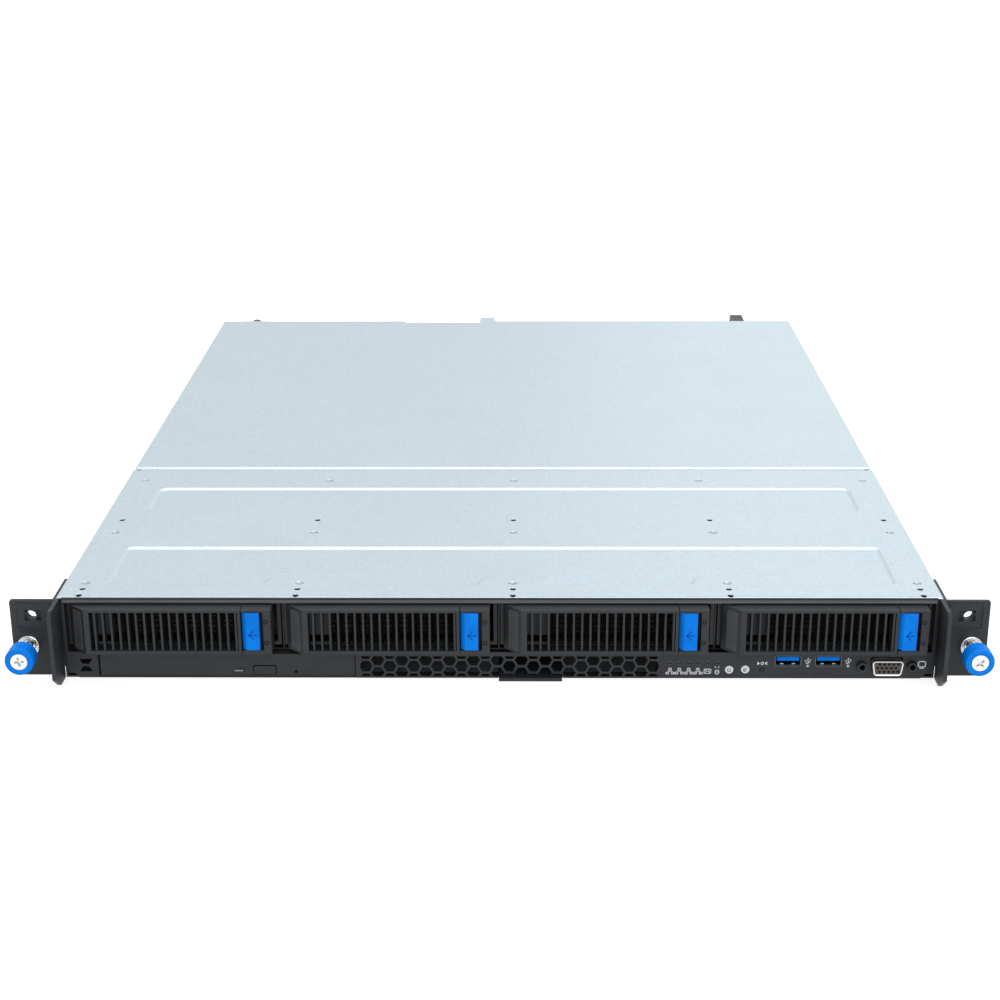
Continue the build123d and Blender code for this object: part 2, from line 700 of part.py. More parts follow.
def cover_thumbscrew():
    """Knurled head on a plain shank, which holds the rear cover's lug to the rear panel."""
    head = fluted_disc(COVER_SCREW_R, COVER_SCREW_FLUTES, COVER_SCREW_FLUTE_R)
    front = LUG_BACK + MOVING_GAP
    grip = across(Pos(COVER_SCREW_X, COVER_SCREW_Z) * head, front, front + COVER_SCREW_HEAD)
    tip = REAR_PANEL_BACK - REAR_T - COVER_SCREW_REACH
    return [grip, rod_y(COVER_SCREW_X, COVER_SCREW_Z, COVER_SCREW_SHANK, tip, front)]


# Drive bays

def bay_shelf():
    """Floor of the drive bays, over the optical drive and the front boards."""
    return block(-TRAY_IN, TRAY_IN, CAGE_FRONT, CAGE_REAR, BAND_TOP - SHELF_T, BAND_TOP)


def bay_dividers():
    """Upright walls between the bays, each with tabs that the cover's screws reach."""
    walls = []
    for i, x in enumerate(DIVIDER_XS):
        side = -1 if i == BAYS else 1
        x0, x1 = x - DIVIDER_T / 2, x + DIVIDER_T / 2
        if i in (0, BAYS):
            x0, x1 = sorted((x, x - side * DIVIDER_T))
        wall = block(x0, x1, CAGE_FRONT, CAGE_REAR, BAND_TOP, DIVIDER_TOP)
        t0, t1 = sorted((x0 if side > 0 else x1, x + side * TAB_W))
        for y in SCREW_ROWS:
            tab = rect(t0, t1, y - TAB_HALF, y + TAB_HALF)
            tab -= Pos(SCREW_XS[i], y) * disc(SCREW_SHANK_R + SINK_GAP)
            wall += upward(tab, DIVIDER_TOP, WALL_TOP)
        walls.append(wall)
    return walls


def carrier_face():
    """Face frame of a carrier, with the pocket that the latch slides in."""
    face = rect(CARRIER_LEFT, FACE_RIGHT, FACE_BOTTOM, FACE_TOP)
    face -= rect(*CARRIER_WINDOW, GRILLE_BOTTOM, GRILLE_TOP)
    face -= rect(*CORNER_WINDOW, GRILLE_BOTTOM, FACE_BOTTOM + CORNER_WINDOW_H)
    pocket = rect(LATCH_LEFT, FACE_RIGHT, FACE_BOTTOM, FACE_TOP)
    pocket -= rect(LATCH_LEFT, LATCH_RIGHT + LATCH_TRAVEL + MOVING_GAP,
                   LATCH_Z[0] - MOVING_GAP, LATCH_Z[1] + MOVING_GAP)
    return (across(face, CARRIER_FACE_FRONT, CARRIER_FACE_BACK)
            + across(pocket, FACE_FRONT, CARRIER_FACE_FRONT))


def carrier_rail(side):
    """One side rail of a carrier, with a shallow panel in its inner face."""
    outer = side * CARRIER_HALF
    inner = side * (CARRIER_HALF - RAIL_T)
    groove = side * (CARRIER_HALF - RAIL_T + RAIL_GROOVE_T)
    rail = block(*sorted((inner, outer)), CARRIER_BAR_Y[0], RAIL_REAR,
                 CARRIER_BOTTOM, FACE_TOP - RAIL_TOP_DROP)
    return rail - block(*sorted((inner, groove)), *RAIL_GROOVE_Y,
                        FACE_BOTTOM + RAIL_GROOVE_EDGE, FACE_TOP - RAIL_GROOVE_EDGE)


def drive_carrier(x):
    """Drive tray: face frame with the latch pocket, two rails and the lever's hinge knuckles."""
    tray = carrier_face() + carrier_rail(-1) + carrier_rail(1)
    bar_front = CARRIER_BAR_Y[0]
    for z0, z1 in ((CARRIER_BOTTOM, GRILLE_BOTTOM), (GRILLE_TOP, CARRIER_TOP)):
        tray += block(-CARRIER_HALF, CARRIER_HALF, *CARRIER_BAR_Y, z0, z1)
    for x0, x1 in ((CARRIER_LEFT, GRILLE_LEFT - CORNER_RIB), (LEVER_REACH, FACE_RIGHT)):
        tray += block(x0, x1, CARRIER_FACE_BACK, bar_front, CARRIER_BOTTOM, CARRIER_TOP)
    low, high = LEVER_KNUCKLE
    for z0, z1 in ((FACE_BOTTOM, low - MOVING_GAP), (high + MOVING_GAP, CARRIER_TOP)):
        tray += rod_z(HINGE_X, HINGE_Y, KNUCKLE_R, z0, z1)
        tray += block(HINGE_X, CARRIER_LEFT + HINGE_LAP, HINGE_Y - KNUCKLE_WEB,
                      HINGE_Y + KNUCKLE_WEB, z0, z1)
    tray += rod_z(HINGE_X, HINGE_Y, HINGE_PIN_R, FACE_BOTTOM, CARRIER_TOP)
    return Pos(x, 0, 0) * tray


def drive_lever(x):
    """Hinged handle: bevelled left end, thin vertical bars and a knuckle on the hinge peg."""
    low, high = LEVER_KNUCKLE
    tip, heel = LEVER_HEEL
    nose = (HINGE_X - tip, HINGE_Y - LEVER_NOSE)
    plan = outline(nose, (FACE_LEFT, FACE_FRONT), (LEVER_REACH, FACE_FRONT),
                   (LEVER_REACH, LEVER_BACK), (HINGE_X + heel, LEVER_BACK))
    lever = upward(plan, FACE_BOTTOM, FACE_TOP)
    window = rect(GRILLE_LEFT, GRILLE_RIGHT, GRILLE_BOTTOM, GRILLE_TOP)
    lever -= across(window, FACE_FRONT, LEVER_BACK)
    front = FACE_FRONT + SLAT_IN
    for i in range(SLATS):
        slat = SLAT_FIRST + i * SLAT_PITCH
        lever += block(slat - SLAT_T / 2, slat + SLAT_T / 2, front, front + SLAT_DEPTH,
                       GRILLE_BOTTOM, GRILLE_TOP)
    arm = outline((HINGE_X - tip, HINGE_Y), nose, (HINGE_X + heel, LEVER_BACK),
                  (HINGE_X + LEVER_ARM, HINGE_Y))
    lever += upward(arm, low, high) + rod_z(HINGE_X, HINGE_Y, KNUCKLE_R, low, high)
    lever -= rod_z(HINGE_X, HINGE_Y, HINGE_PIN_R + PIN_CLEARANCE, low, high)
    return Pos(x, 0, 0) * lever


def drive_latch(x):
    """Sliding catch at the lever's free end, bevelled on the side that faces the lever."""
    bevel_x, bevel_y = LATCH_BEVEL
    plan = outline((LATCH_LEFT + LATCH_LEAN, LATCH_BACK), (LATCH_LEFT, LATCH_FRONT + bevel_y),
                   (LATCH_LEFT + bevel_x, LATCH_FRONT), (LATCH_RIGHT, LATCH_FRONT),
                   (LATCH_RIGHT, LATCH_BACK))
    catch = upward(plan, *LATCH_Z)
    catch += block(LATCH_LEFT + LATCH_FOOT_IN, LATCH_RIGHT - LATCH_FOOT_IN,
                   LATCH_BACK, CARRIER_FACE_FRONT - MOVING_GAP,
                   LATCH_Z[0] + LATCH_FOOT_EDGE, LATCH_Z[1] - LATCH_FOOT_EDGE)
    return Pos(x, 0, 0) * catch


def drive_plug(grow, low, high):
    """Face of a drive's rear plug, widened by grow at both ends."""
    left, right = DRIVE_PLUG_EDGE
    return rect(-DRIVE_W / 2 + left - grow, DRIVE_W / 2 - right + grow, DRIVE_Z + low,
                DRIVE_Z + high)


def hard_drive(x):
    """3.5 inch drive: cast base, raised lid and the connector block at the rear."""
    half = DRIVE_W / 2
    inner = half - DRIVE_LID_IN
    back = DRIVE_FRONT + DRIVE_L
    case_back = back - DRIVE_PLUG_L
    top = DRIVE_Z + DRIVE_H
    body = upward(eased(-half, half, DRIVE_FRONT, case_back, DRIVE_CORNER),
                  DRIVE_Z, top - DRIVE_LID_T)
    body += upward(eased(-inner, inner, DRIVE_FRONT + DRIVE_LID_IN, case_back - DRIVE_LID_IN,
                         DRIVE_CORNER), top - DRIVE_LID_T, top)
    body += across(drive_plug(0.0, *DRIVE_PLUG_Z), case_back, back)
    for y in DRIVE_HOLE_YS:
        hole = Pos(DRIVE_FRONT + y, DRIVE_Z + DRIVE_HOLE_Z) * disc(DRIVE_HOLE_R)
        body -= sideways(hole, -half, -half + DRIVE_HOLE_DEPTH)
        body -= sideways(hole, half - DRIVE_HOLE_DEPTH, half)
    return Pos(x, 0, 0) * body


def backplane_board():
    """Upright circuit board behind the bays, with air slots over each connector."""
    board = rect(-CAGE_HALF, CAGE_HALF, BAND_TOP, DIVIDER_TOP)
    for x in BAY_XS:
        for i in range(AIR_SLOTS):
            u = x + AIR_SLOT_PITCH * (i - (AIR_SLOTS - 1) / 2)
            board -= air_slot(u, AIR_SLOT_Z, *AIR_SLOT)
    return across(board, CAGE_REAR, CAGE_REAR + BOARD_T)


def drive_connectors():
    """Receptacles on the backplane, one behind each drive."""
    sockets = []
    for x in BAY_XS:
        socket = across(drive_plug(HOUSING_GROW, *HOUSING_Z), HOUSING_FRONT, CAGE_REAR)
        keyway = drive_plug(HOUSING_GROW - KEYWAY_IN, *KEYWAY_Z)
        socket -= across(keyway, HOUSING_FRONT, HOUSING_FRONT + KEYWAY_DEPTH)
        sockets.append(Pos(x, 0, 0) * socket)
    return sockets


# Front plates, optical drive and ports

def band_corner(side):
    """Clipped outer bottom corner of the lower band."""
    tip = side * TRAY_IN
    step = side * (TRAY_IN - CORNER_STEP_W)
    taper = side * (TRAY_IN - CORNER_STEP_W - CORNER_TAPER)
    return outline((tip, 0), (taper, 0), (taper, BAND_BOTTOM),
                   (step, BAND_BOTTOM + CORNER_STEP), (tip, BAND_BOTTOM + CORNER_STEP))


def hourglass(side):
    """Upper or lower half of the twin opening in the left filler."""
    x0, x1 = HOURGLASS_X
    outer, inner = HOURGLASS_HALF
    z0, z1 = HOURGLASS_Z + side * outer, HOURGLASS_Z + side * inner
    return outline((x0, z0), (x1, z0), (x1 - HOURGLASS_TAPER, z1), (x0 + HOURGLASS_TAPER, z1))


def front_panel():
    """Painted frame: top rail, a stile at each end, and the left filler with its long strip."""
    edge = TRAY_IN
    filler = rect(-edge, OPTICAL_LEFT - FILLER_GAP, BAND_BOTTOM, BAND_TOP)
    filler += rect(OPTICAL_LEFT - FILLER_GAP, VENT_LEFT, BAND_BOTTOM, SHEET)
    filler -= band_corner(-1)
    for side in (-1, 1):
        filler -= hourglass(side)
    faces = [filler, rect(-edge, edge, RAIL_BOTTOM, RAIL_TOP),
             rect(-edge, -CAGE_HALF, BAND_TOP, RAIL_BOTTOM),
             rect(CAGE_HALF, edge, BAND_TOP, RAIL_BOTTOM)]
    return [across(face, -PLATE_T, 0) for face in faces]


def tag_opening():
    """Opening that the pull-out tag slides through."""
    return rect(TAG_X[0] - OPTICAL_GAP, TAG_X[1] + OPTICAL_GAP, 0, TAG_LOW + TAG_T + OPTICAL_GAP)


def vent_grille():
    """Honeycomb air inlet under the middle bays."""
    left, right = VENT_MARGIN
    plate = rect(VENT_LEFT, IO_LEFT, BAND_BOTTOM, BAND_TOP)
    plate -= honeycomb(VENT_LEFT + left, IO_LEFT - right, *VENT_Z)
    plate -= tag_opening()
    return across(plate, -PLATE_T, 0)


def d_shape(x, z, grow=0.0):
    """D-shaped face of a display connector."""
    half_w, half_h = VGA_W / 2 + grow, VGA_H / 2 + grow
    slope = VGA_H * VGA_SLOPE
    face = outline((x - half_w, z + half_h), (x + half_w, z + half_h),
                   (x + half_w - slope, z - half_h), (x - half_w + slope, z - half_h))
    return chamfer(face.vertices(), VGA_EASE)


def display_holes(x, z):
    """Holes in a plate for a display connector and its two jack posts."""
    holes = d_shape(x, z, PORT_CLEARANCE)
    for side in (-1, 1):
        holes += Pos(x + side * JACK_SPACING / 2, z) * Circle(JACK_R + PIN_CLEARANCE)
    return holes


def on_plate(at):
    """Place on the input/output plate, given from its left end."""
    return Pos(IO_LEFT + at[0], at[1])


def io_bezel():
    """Right part of the lower band, with holes for lights, buttons and sockets."""
    plate = rect(IO_LEFT, TRAY_IN, BAND_BOTTOM, BAND_TOP) - band_corner(1)
    for x in LIGHT_XS:
        plate -= Pos(x, LIGHT_Z) * disc(LIGHT_R)
    for at in (POWER_AT, IDENTIFY_AT):
        plate -= on_plate(at) * Circle(PUSH_R + MOVING_GAP)
    plate -= on_plate(RESET_AT) * Circle(RESET_R + MOVING_GAP)
    for x in USB_XS:
        plate -= usb_outline(x, USB_Z)
    plate -= display_holes(VGA_X, VGA_Z)
    return across(plate, -PLATE_T, 0)


def usb_outline(x, z, grow=0.0):
    """Outline of a USB socket's shell, or of its mouth when it shrinks by the wall."""
    half_w, half_h = USB_W / 2 + USB_WALL + grow, USB_H / 2 + USB_WALL + grow
    return eased(x - half_w, x + half_w, z - half_h, z + half_h, USB_CORNER)


def usb_shell(x, z, y_front, y_back):
    """Folded steel shell of one USB socket, open at its mouth."""
    closed = y_back - USB_WALL if y_back > y_front else y_back + USB_WALL
    shell = across(usb_outline(x, z), *sorted((y_front, y_back)))
    return shell - across(usb_outline(x, z, -USB_WALL), *sorted((y_front, closed)))


def vga_shell(x, z, y_front, y_back):
    """D-shaped steel collar on a mounting flange, with two jack posts."""
    out = -1 if y_back > y_front else 1
    lip, tip = y_front + out * VGA_PROUD, y_front + out * JACK_PROUD
    collar = across(d_shape(x, z), *sorted((lip, y_back)))
    collar -= across(d_shape(x, z, -VGA_WALL), *sorted((lip, lip - out * VGA_RECESS)))
    for side in (-1, 1):
        post = Pos(x + side * JACK_SPACING / 2, z)
        collar += across(post * Circle(JACK_R), *sorted((tip, y_back)))
        collar -= across(post * Circle(JACK_HOLE_R), *sorted((tip, tip - out * JACK_DEPTH)))
    flange = around((x, z), JACK_SPACING / 2 + JACK_R, VGA_H / 2)
    return collar + across(flange, *sorted((y_back, y_back - out * VGA_FLANGE_T)))


def front_port_shells():
    """Steel shells of the two USB sockets and the display socket behind the front plate."""
    shells = [usb_shell(x, USB_Z, -PLATE_T, USB_DEPTH) for x in USB_XS]
    return shells + [vga_shell(VGA_X, VGA_Z, -PLATE_T, VGA_FLANGE)]


def front_usb_tongues():
    """Plastic tongues that carry the contacts, near the roof of each USB socket."""
    half = USB_W / 2 - USB_TONGUE_IN
    top = USB_Z + USB_H / 2 - USB_TONGUE_IN
    return [block(x - half, x + half, USB_TONGUE_IN - PLATE_T, USB_DEPTH - USB_WALL,
                  top - USB_TONGUE_T, top) for x in USB_XS]


def front_io_board():
    """Circuit board under the front sockets and behind the buttons, on its standoffs."""
    left, right = IO_LEFT + FRONT_BOARD_EDGE[0], TRAY_IN - FRONT_BOARD_EDGE[1]
    low = FRONT_BOARD_Z - BOARD_T
    front = PUSH_BACK + PUSH_TRAVEL + MOVING_GAP
    board = block(left, right, front, FRONT_BOARD_BACK, low, FRONT_BOARD_Z)
    board += block(left, IO_LEFT + SWITCH_WALL_RUN, front, front + BOARD_T, FRONT_BOARD_Z,
                   LIGHT_Z + SWITCH_WALL_RISE)
    for x in USB_XS:
        board += block(x - USB_SEAT_HALF, x + USB_SEAT_HALF, front, USB_DEPTH - USB_SEAT_SHORT,
                       low, USB_Z - USB_H / 2 - USB_WALL)
    seat = VGA_FLANGE + USB_WALL
    board += block(VGA_X - VGA_SEAT_HALF, VGA_X + VGA_SEAT_HALF, seat, seat + VGA_SEAT_T,
                   low, VGA_Z - VGA_H / 2)
    for x in (left + FRONT_STANDOFF_EDGE, right - FRONT_STANDOFF_EDGE):
        board += upward(Pos(x, FRONT_STANDOFF_Y) * disc(STANDOFF_R), SHEET, low)
    return board


def push_button(at, radius):
    """Round button with a wider foot behind the front plate."""
    x, z = IO_LEFT + at[0], at[1]
    cap = rod_y(x, z, radius, -PLATE_T - MOVING_GAP, PUSH_BACK)
    cap = chamfer(cap.edges().group_by(Axis.Y)[0], PUSH_EASE)
    return cap + rod_y(x, z, radius + PUSH_LIP, MOVING_GAP, PUSH_BACK)


def optical_drive_body():
    """Flat steel box, open at the front, that the disc tray slides in."""
    x0, x1 = OPTICAL_LEFT + OPTICAL_GAP, OPTICAL_LEFT + OPTICAL_W - OPTICAL_GAP
    z1 = SHEET + OPTICAL_H
    back = BEZEL_BACK + OPTICAL_L
    skin = OPTICAL_SKIN
    box = block(x0, x1, BEZEL_BACK + MOVING_GAP, back, SHEET, z1)
    return box - block(x0 + skin, x1 - skin, BEZEL_BACK, back - skin, SHEET + skin, z1 - skin)


def optical_tray():
    """Disc tray: bezel with a button pocket, tray plate with the disc's well and spindle."""
    x0, x1 = OPTICAL_LEFT, OPTICAL_LEFT + OPTICAL_W
    low, high = SHEET + MOVING_GAP, SHEET + OPTICAL_H - MOVING_GAP
    face = rect(x0, x1, low, high) - eject_face(MOVING_GAP)
    face -= Pos(x0 + EMERGENCY_AT[0], EMERGENCY_AT[1]) * disc(EMERGENCY_R)
    tray = across(face, -PLATE_T, BEZEL_BACK)
    side = 2 * OPTICAL_GAP + OPTICAL_SKIN
    t0, t1 = x0 + side, x1 - side
    floor = SHEET + OPTICAL_SKIN + OPTICAL_GAP
    back = BEZEL_BACK + OPTICAL_L - OPTICAL_SKIN - TRAY_SHORT
    tray += block(t0, t1, BEZEL_BACK, back, floor, floor + TRAY_T)
    pocket_w, pocket_l, pocket_top = EJECT_POCKET
    half = EJECT_W / 2 + pocket_w
    front = BEZEL_BACK + pocket_l
    eject = x0 + EJECT_AT[0]
    tray -= block(eject - half, eject + half, BEZEL_BACK, front, 0, high - pocket_top)
    middle = ((t0 + t1) / 2, (front + back) / 2)
    well = floor + TRAY_T - WELL_DEPTH
    tray -= rod_z(*middle, (back - front) / 2 - WELL_EDGE, well, floor + TRAY_T)
    return tray + rod_z(*middle, SPINDLE_R, well, floor + TRAY_T + SPINDLE_PROUD)


def eject_face(grow=0.0):
    """Outline of the eject button, or of its hole when grown."""
    x, z = OPTICAL_LEFT + EJECT_AT[0], EJECT_AT[1]
    half_w, half_h = EJECT_W / 2 + grow, EJECT_H / 2 + grow
    return eased(x - half_w, x + half_w, z - half_h, z + half_h, EJECT_CORNER)


def eject_button():
    """Flat button in the optical drive's bezel."""
    return across(eject_face(), -PLATE_T - BUTTON_PROUD, BEZEL_BACK + EJECT_BACK)


def asset_tag():
    """Flat pull-out tag with a finger lip."""
    lip_t, lip_h = TAG_LIP
    tag = block(*TAG_X, TAG_FRONT + lip_t / 2, TAG_REAR, TAG_LOW, TAG_LOW + TAG_T)
    lip = rect(TAG_FRONT, TAG_FRONT + lip_t, TAG_LIP_LOW, TAG_LIP_LOW + lip_h)
    return tag + sideways(chamfer(lip.vertices(), TAG_EASE), *TAG_X)


# Rack ears and captive screws

def ear_face():
    """Right ear's face, with the rack slot and the ferrule's hole."""
    face = rounded(HALF_COVER, HALF_COVER + EAR_W, *EAR_Z, EAR_CORNER_R)
    face += rect(HALF_COVER, HALF_COVER + FLANGE_T, *EAR_Z)
    face -= around((EAR_SLOT_X, EAR_SLOT_Z), EAR_SLOT[0] / 2, EAR_SLOT[1] / 2)
    return face - Pos(THUMB_X, THUMB_Z) * Circle(EAR_BORE_R + EAR_BORE_GAP)


def slot_rib(inset):
    """Outline of the raised rim round the rack slot, drawn in by inset."""
    return eased(EAR_SLOT_X - RIB_LEFT + inset, EAR_SLOT_X + RIB_RIGHT - inset,
                 EAR_SLOT_Z - RIB_DOWN + inset, EAR_SLOT_Z + RIB_UP - inset, RIB_W)


def guard_plate():
    """Side view of the plate that stands forward beside the bays."""
    z0, z1 = GUARD_Z
    front, back = -GUARD_REACH, EAR_FRONT + EAR_T
    run, rise = GUARD_CORNER
    top = GUARD_TOP_CORNER
    return outline((back, z0), (front + run, z0), (front, z0 + rise), (front, z1 - top),
                   (front + top, z1), (back, z1))


def rack_ear():
    """Right rack ear: face with a slot, guard plate in front of it and a flange on the wall."""
    ear = across(ear_face(), EAR_FRONT, EAR_FRONT + EAR_T)
    ear += across(slot_rib(0.0) - slot_rib(RIB_W), EAR_FRONT - RIB_PROUD, EAR_FRONT)
    ear += sideways(guard_plate(), GUARD_X, GUARD_X + GUARD_T)
    return ear + block(HALF_COVER, HALF_COVER + FLANGE_T, EAR_FRONT, FLANGE_LEN, EAR_Z[0],
                       FLANGE_TOP)


def screw_ferrules():
    """Steel collars in the two ears that keep the thumbscrews captive."""
    back = EAR_FRONT + EAR_T
    ring = rod_y(THUMB_X, THUMB_Z, FERRULE_R, EAR_FRONT - FERRULE_PROUD, EAR_FRONT)
    ring = chamfer(ring.edges().group_by(Axis.Y)[0], FERRULE_EASE)
    ring += rod_y(THUMB_X, THUMB_Z, EAR_BORE_R, EAR_FRONT, back)
    ring -= rod_y(THUMB_X, THUMB_Z, FERRULE_BORE_R, EAR_FRONT - FERRULE_PROUD, back)
    return [mirrored(ring), ring]


def thumb_screw():
    """Right captive screw: head, neck with its stop collar, and the thread behind the ear."""
    face = KNOB_FACE + THUMB_FACE_IN
    under = face + THUMB_HEAD_H
    thread = EAR_FRONT + EAR_T + MOVING_GAP
    screw = rod_y(THUMB_X, THUMB_Z, THUMB_HEAD_R, face, under)
    screw += rod_y(THUMB_X, THUMB_Z, THUMB_NECK_R, under, thread)
    screw += rod_y(THUMB_X, THUMB_Z, THUMB_THREAD_R, thread, THUMB_TIP)
    screw += rod_y(THUMB_X, THUMB_Z, THUMB_COLLAR_R, KNOB_FACE + KNOB_LEN + MOVING_GAP,
                   EAR_FRONT - FERRULE_PROUD - THUMB_TRAVEL - MOVING_GAP)
    length, width, depth = THUMB_RECESS
    at = (THUMB_X, THUMB_Z)
    cross = around(at, length, width) + around(at, width, length)
    return screw - across(cross, face, face + depth)


def thumb_knob():
    """Right grip, moulded over the screw's head."""
    seat = KNOB_FACE + THUMB_FACE_IN + THUMB_HEAD_H + PIN_CLEARANCE
    back = KNOB_FACE + KNOB_LEN
    grip = fluted_disc(KNOB_R, KNOB_FLUTES, KNOB_FLUTE_R) - Circle(THUMB_NECK_R + PIN_CLEARANCE)
    knob = across(Pos(THUMB_X, THUMB_Z) * grip, KNOB_FACE, back)
    return knob - rod_y(THUMB_X, THUMB_Z, THUMB_HEAD_R + PIN_CLEARANCE, KNOB_FACE, seat)


# Rear

def rear_panel():
    """Rear wall: full-height posts, and strips over and under the windows between them."""
    top = WALL_TOP - REAR_PANEL_DROP
    half = COVER_SCREW_SHANK + SCREW_NOTCH_GAP
    notch = (COVER_SCREW_X - half, COVER_SCREW_X + half)
    supply = (PSU_X[0] - PSU_GAP, PSU_X[1] + PSU_GAP)
    edges = [-TRAY_IN, *notch, *PORT_PLATE, *SLOT_X, *supply, TRAY_IN]
    faces = [rect(x0, x1, SHEET, top) for x0, x1 in zip(edges[::2], edges[1::2])]
    faces.append(rect(*notch, SHEET, COVER_SCREW_Z - half))
    for window, (low, high) in ((PORT_PLATE, PORT_PLATE_Z), (SLOT_X, SLOT_Z)):
        faces += [rect(*window, SHEET, low), rect(*window, high, top)]
    faces.append(rect(*supply, SHEET + PSU_H + 2 * PSU_GAP, top))
    return [across(each, REAR_PANEL_BACK - REAR_T, REAR_PANEL_BACK) for each in faces]


def rear_io_plate():
    """Thin plate with the rear socket holes below and a honeycomb vent above."""
    x0, x1 = PORT_PLATE
    plate = rect(x0, x1, *PORT_PLATE_Z)
    plate -= honeycomb(x0 + PORT_VENT_EDGE, x1 - PORT_VENT_EDGE, *PORT_VENT_Z)
    for x in LAN_XS:
        plate -= around((x, PORT_Z), LAN_SIZE[0] / 2, LAN_SIZE[1] / 2)
    for x in REAR_USB_XS:
        plate -= usb_outline(x, PORT_Z)
    plate -= display_holes(REAR_VGA_X, PORT_Z)
    return across(plate, REAR_PANEL_BACK - REAR_T, REAR_PANEL_BACK)


def port_foot(x, half, y0, y1, top):
    """Block under a rear socket that stands on the main board."""
    return block(x - half, x + half, y0, y1, BOARD_TOP, top)


def lan_socket(x):
    """Steel shell of one network socket."""
    w, h = LAN_SIZE
    mouth_w, mouth_h = LAN_MOUTH
    inner, outer = REAR_PANEL_BACK - LAN_DEPTH, REAR_PANEL_BACK + PORT_PROUD
    shell = across(around((x, PORT_Z), w / 2, h / 2), inner, outer)
    shell -= across(around((x, PORT_Z), mouth_w / 2, mouth_h / 2), inner + LAN_WALL, outer)
    return shell + port_foot(x, LAN_FOOT_HALF, inner, REAR_PANEL_BACK - PORT_FOOT_BACK,
                             PORT_Z - h / 2)


def rear_ports():
    """Steel shells of the rear LAN, USB and display sockets, on their feet."""
    sockets = [lan_socket(x) for x in LAN_XS]
    for x in REAR_USB_XS:
        inner = REAR_PANEL_BACK - USB_DEPTH
        shell = usb_shell(x, PORT_Z, REAR_PANEL_BACK + PORT_PROUD, inner)
        sockets.append(shell + port_foot(x, USB_FOOT_HALF, inner, REAR_PANEL_BACK - PORT_FOOT_BACK,
                                         PORT_Z - USB_H / 2 - USB_WALL))
    flange = REAR_PANEL_BACK - VGA_FLANGE
    display = vga_shell(REAR_VGA_X, PORT_Z, REAR_PANEL_BACK, flange)
    sockets.append(display + port_foot(REAR_VGA_X, VGA_FOOT_HALF, flange - VGA_FLANGE_T, flange,
                                       PORT_Z))
    return sockets


def slot_bracket():
    """Blank cover of the expansion slot, with two rows of air slots."""
    side, under, over = BRACKET_EDGE
    face = rect(SLOT_X[0] - side, SLOT_X[1] + side, SLOT_Z[0] - under, SLOT_Z[1] + over)
    for i in range(BRACKET_SLOTS):
        for z in BRACKET_ROWS:
            face -= air_slot(SLOT_X[0] + BRACKET_FIRST + BRACKET_PITCH * i, z, *BRACKET_SLOT)
    back = REAR_PANEL_BACK - REAR_T
    return across(face, back - BRACKET_T, back)


def supply_handle(z0, z1):
    """Strap handle that stands out behind the power supply."""
    back, end = REAR_PANEL_BACK, DEPTH + HANDLE_REACH
    low, high = z0 + HANDLE_EDGE[0], z1 - HANDLE_EDGE[1]
    root = back - HANDLE_ROOT
    strap = rounded(root, end, low, high, HANDLE_ROUND[0])
    strap -= rounded(root, end - HANDLE_T, low + HANDLE_T, high - HANDLE_T, HANDLE_ROUND[1])
    strap = strap & rect(back, end, low, high)
    return sideways(strap, HANDLE_X - HANDLE_W / 2, HANDLE_X + HANDLE_W / 2)


def power_supply():
    """Hot-plug supply: case, recessed mains inlet with three blades, vent slots and handle."""
    back = REAR_PANEL_BACK
    z0 = SHEET + PSU_GAP
    z1 = z0 + PSU_H
    middle = (z0 + z1) / 2
    case = block(*PSU_X, back - PSU_L, back, z0, z1)
    inlet = around((INLET_X, middle), INLET_SIZE[0] / 2, INLET_SIZE[1] / 2)
    case -= across(inlet, back - INLET_DEPTH, back)
    for dx, dz in BLADE_POSTS:
        case += across(around((INLET_X + dx, middle + dz), *BLADE_POST),
                       back - INLET_DEPTH, back - BLADE_POST_IN)
    for i in range(LOUVRES):
        z = z0 + LOUVRE_PITCH * (i + 1)
        for run in LOUVRE_RUNS:
            x0, x1 = (PSU_X[0] + end for end in run)
            case -= block(x0, x1, back - LOUVRE_DEPTH, back, z - LOUVRE_HALF, z + LOUVRE_HALF)
    case -= block(PSU_LATCH_X[0] - MOVING_GAP, PSU_LATCH_X[1] + PSU_LATCH_TRAVEL + MOVING_GAP,
                  back - PSU_LATCH_ROOT - MOVING_GAP, back,
                  PSU_LATCH_Z[0] - MOVING_GAP, PSU_LATCH_Z[1] + MOVING_GAP)
    return case + supply_handle(z0, z1)


def power_supply_latch():
    """Squeeze tab that frees the supply, standing out behind it."""
    root = REAR_PANEL_BACK - PSU_LATCH_ROOT
    tip = REAR_PANEL_BACK + PSU_LATCH_REACH
    x0, x1 = PSU_LATCH_X
    plan = outline((x0, root), (x1, root), (x1, REAR_PANEL_BACK + PSU_LATCH_ROOT),
                   (x1 - PSU_LATCH_WEDGE, tip), (x0, tip))
    return upward(plan, *PSU_LATCH_Z)


# Inside

def fan_frame(x):
    """Square fan housing with four spokes that hold the motor's base and its spindle."""
    at = (x, FAN_Z)
    half = FAN_SIZE / 2
    back = FAN_Y + FAN_DEPTH
    face = eased(x - half, x + half, SHEET, SHEET + FAN_SIZE, FAN_CORNER)
    frame = across(face - Pos(*at) * Circle(FAN_BORE_R), FAN_Y, back)
    reach = FAN_BORE_R + SPOKE_HALF / 2
    spokes = around(at, reach, SPOKE_HALF) + around(at, SPOKE_HALF, reach)
    frame += across(spokes, back - SPOKE_T, back) + rod_y(*at, MOTOR_R, back - MOTOR_T, back)
    return frame + rod_y(*at, SPINDLE_PIN_R, FAN_Y + SPINDLE_PIN_START, back)


def fan_frames():
    """All the fan housings, in one row behind the drives."""
    return [fan_frame(FAN_FIRST_X + FAN_PITCH * i) for i in range(FANS)]


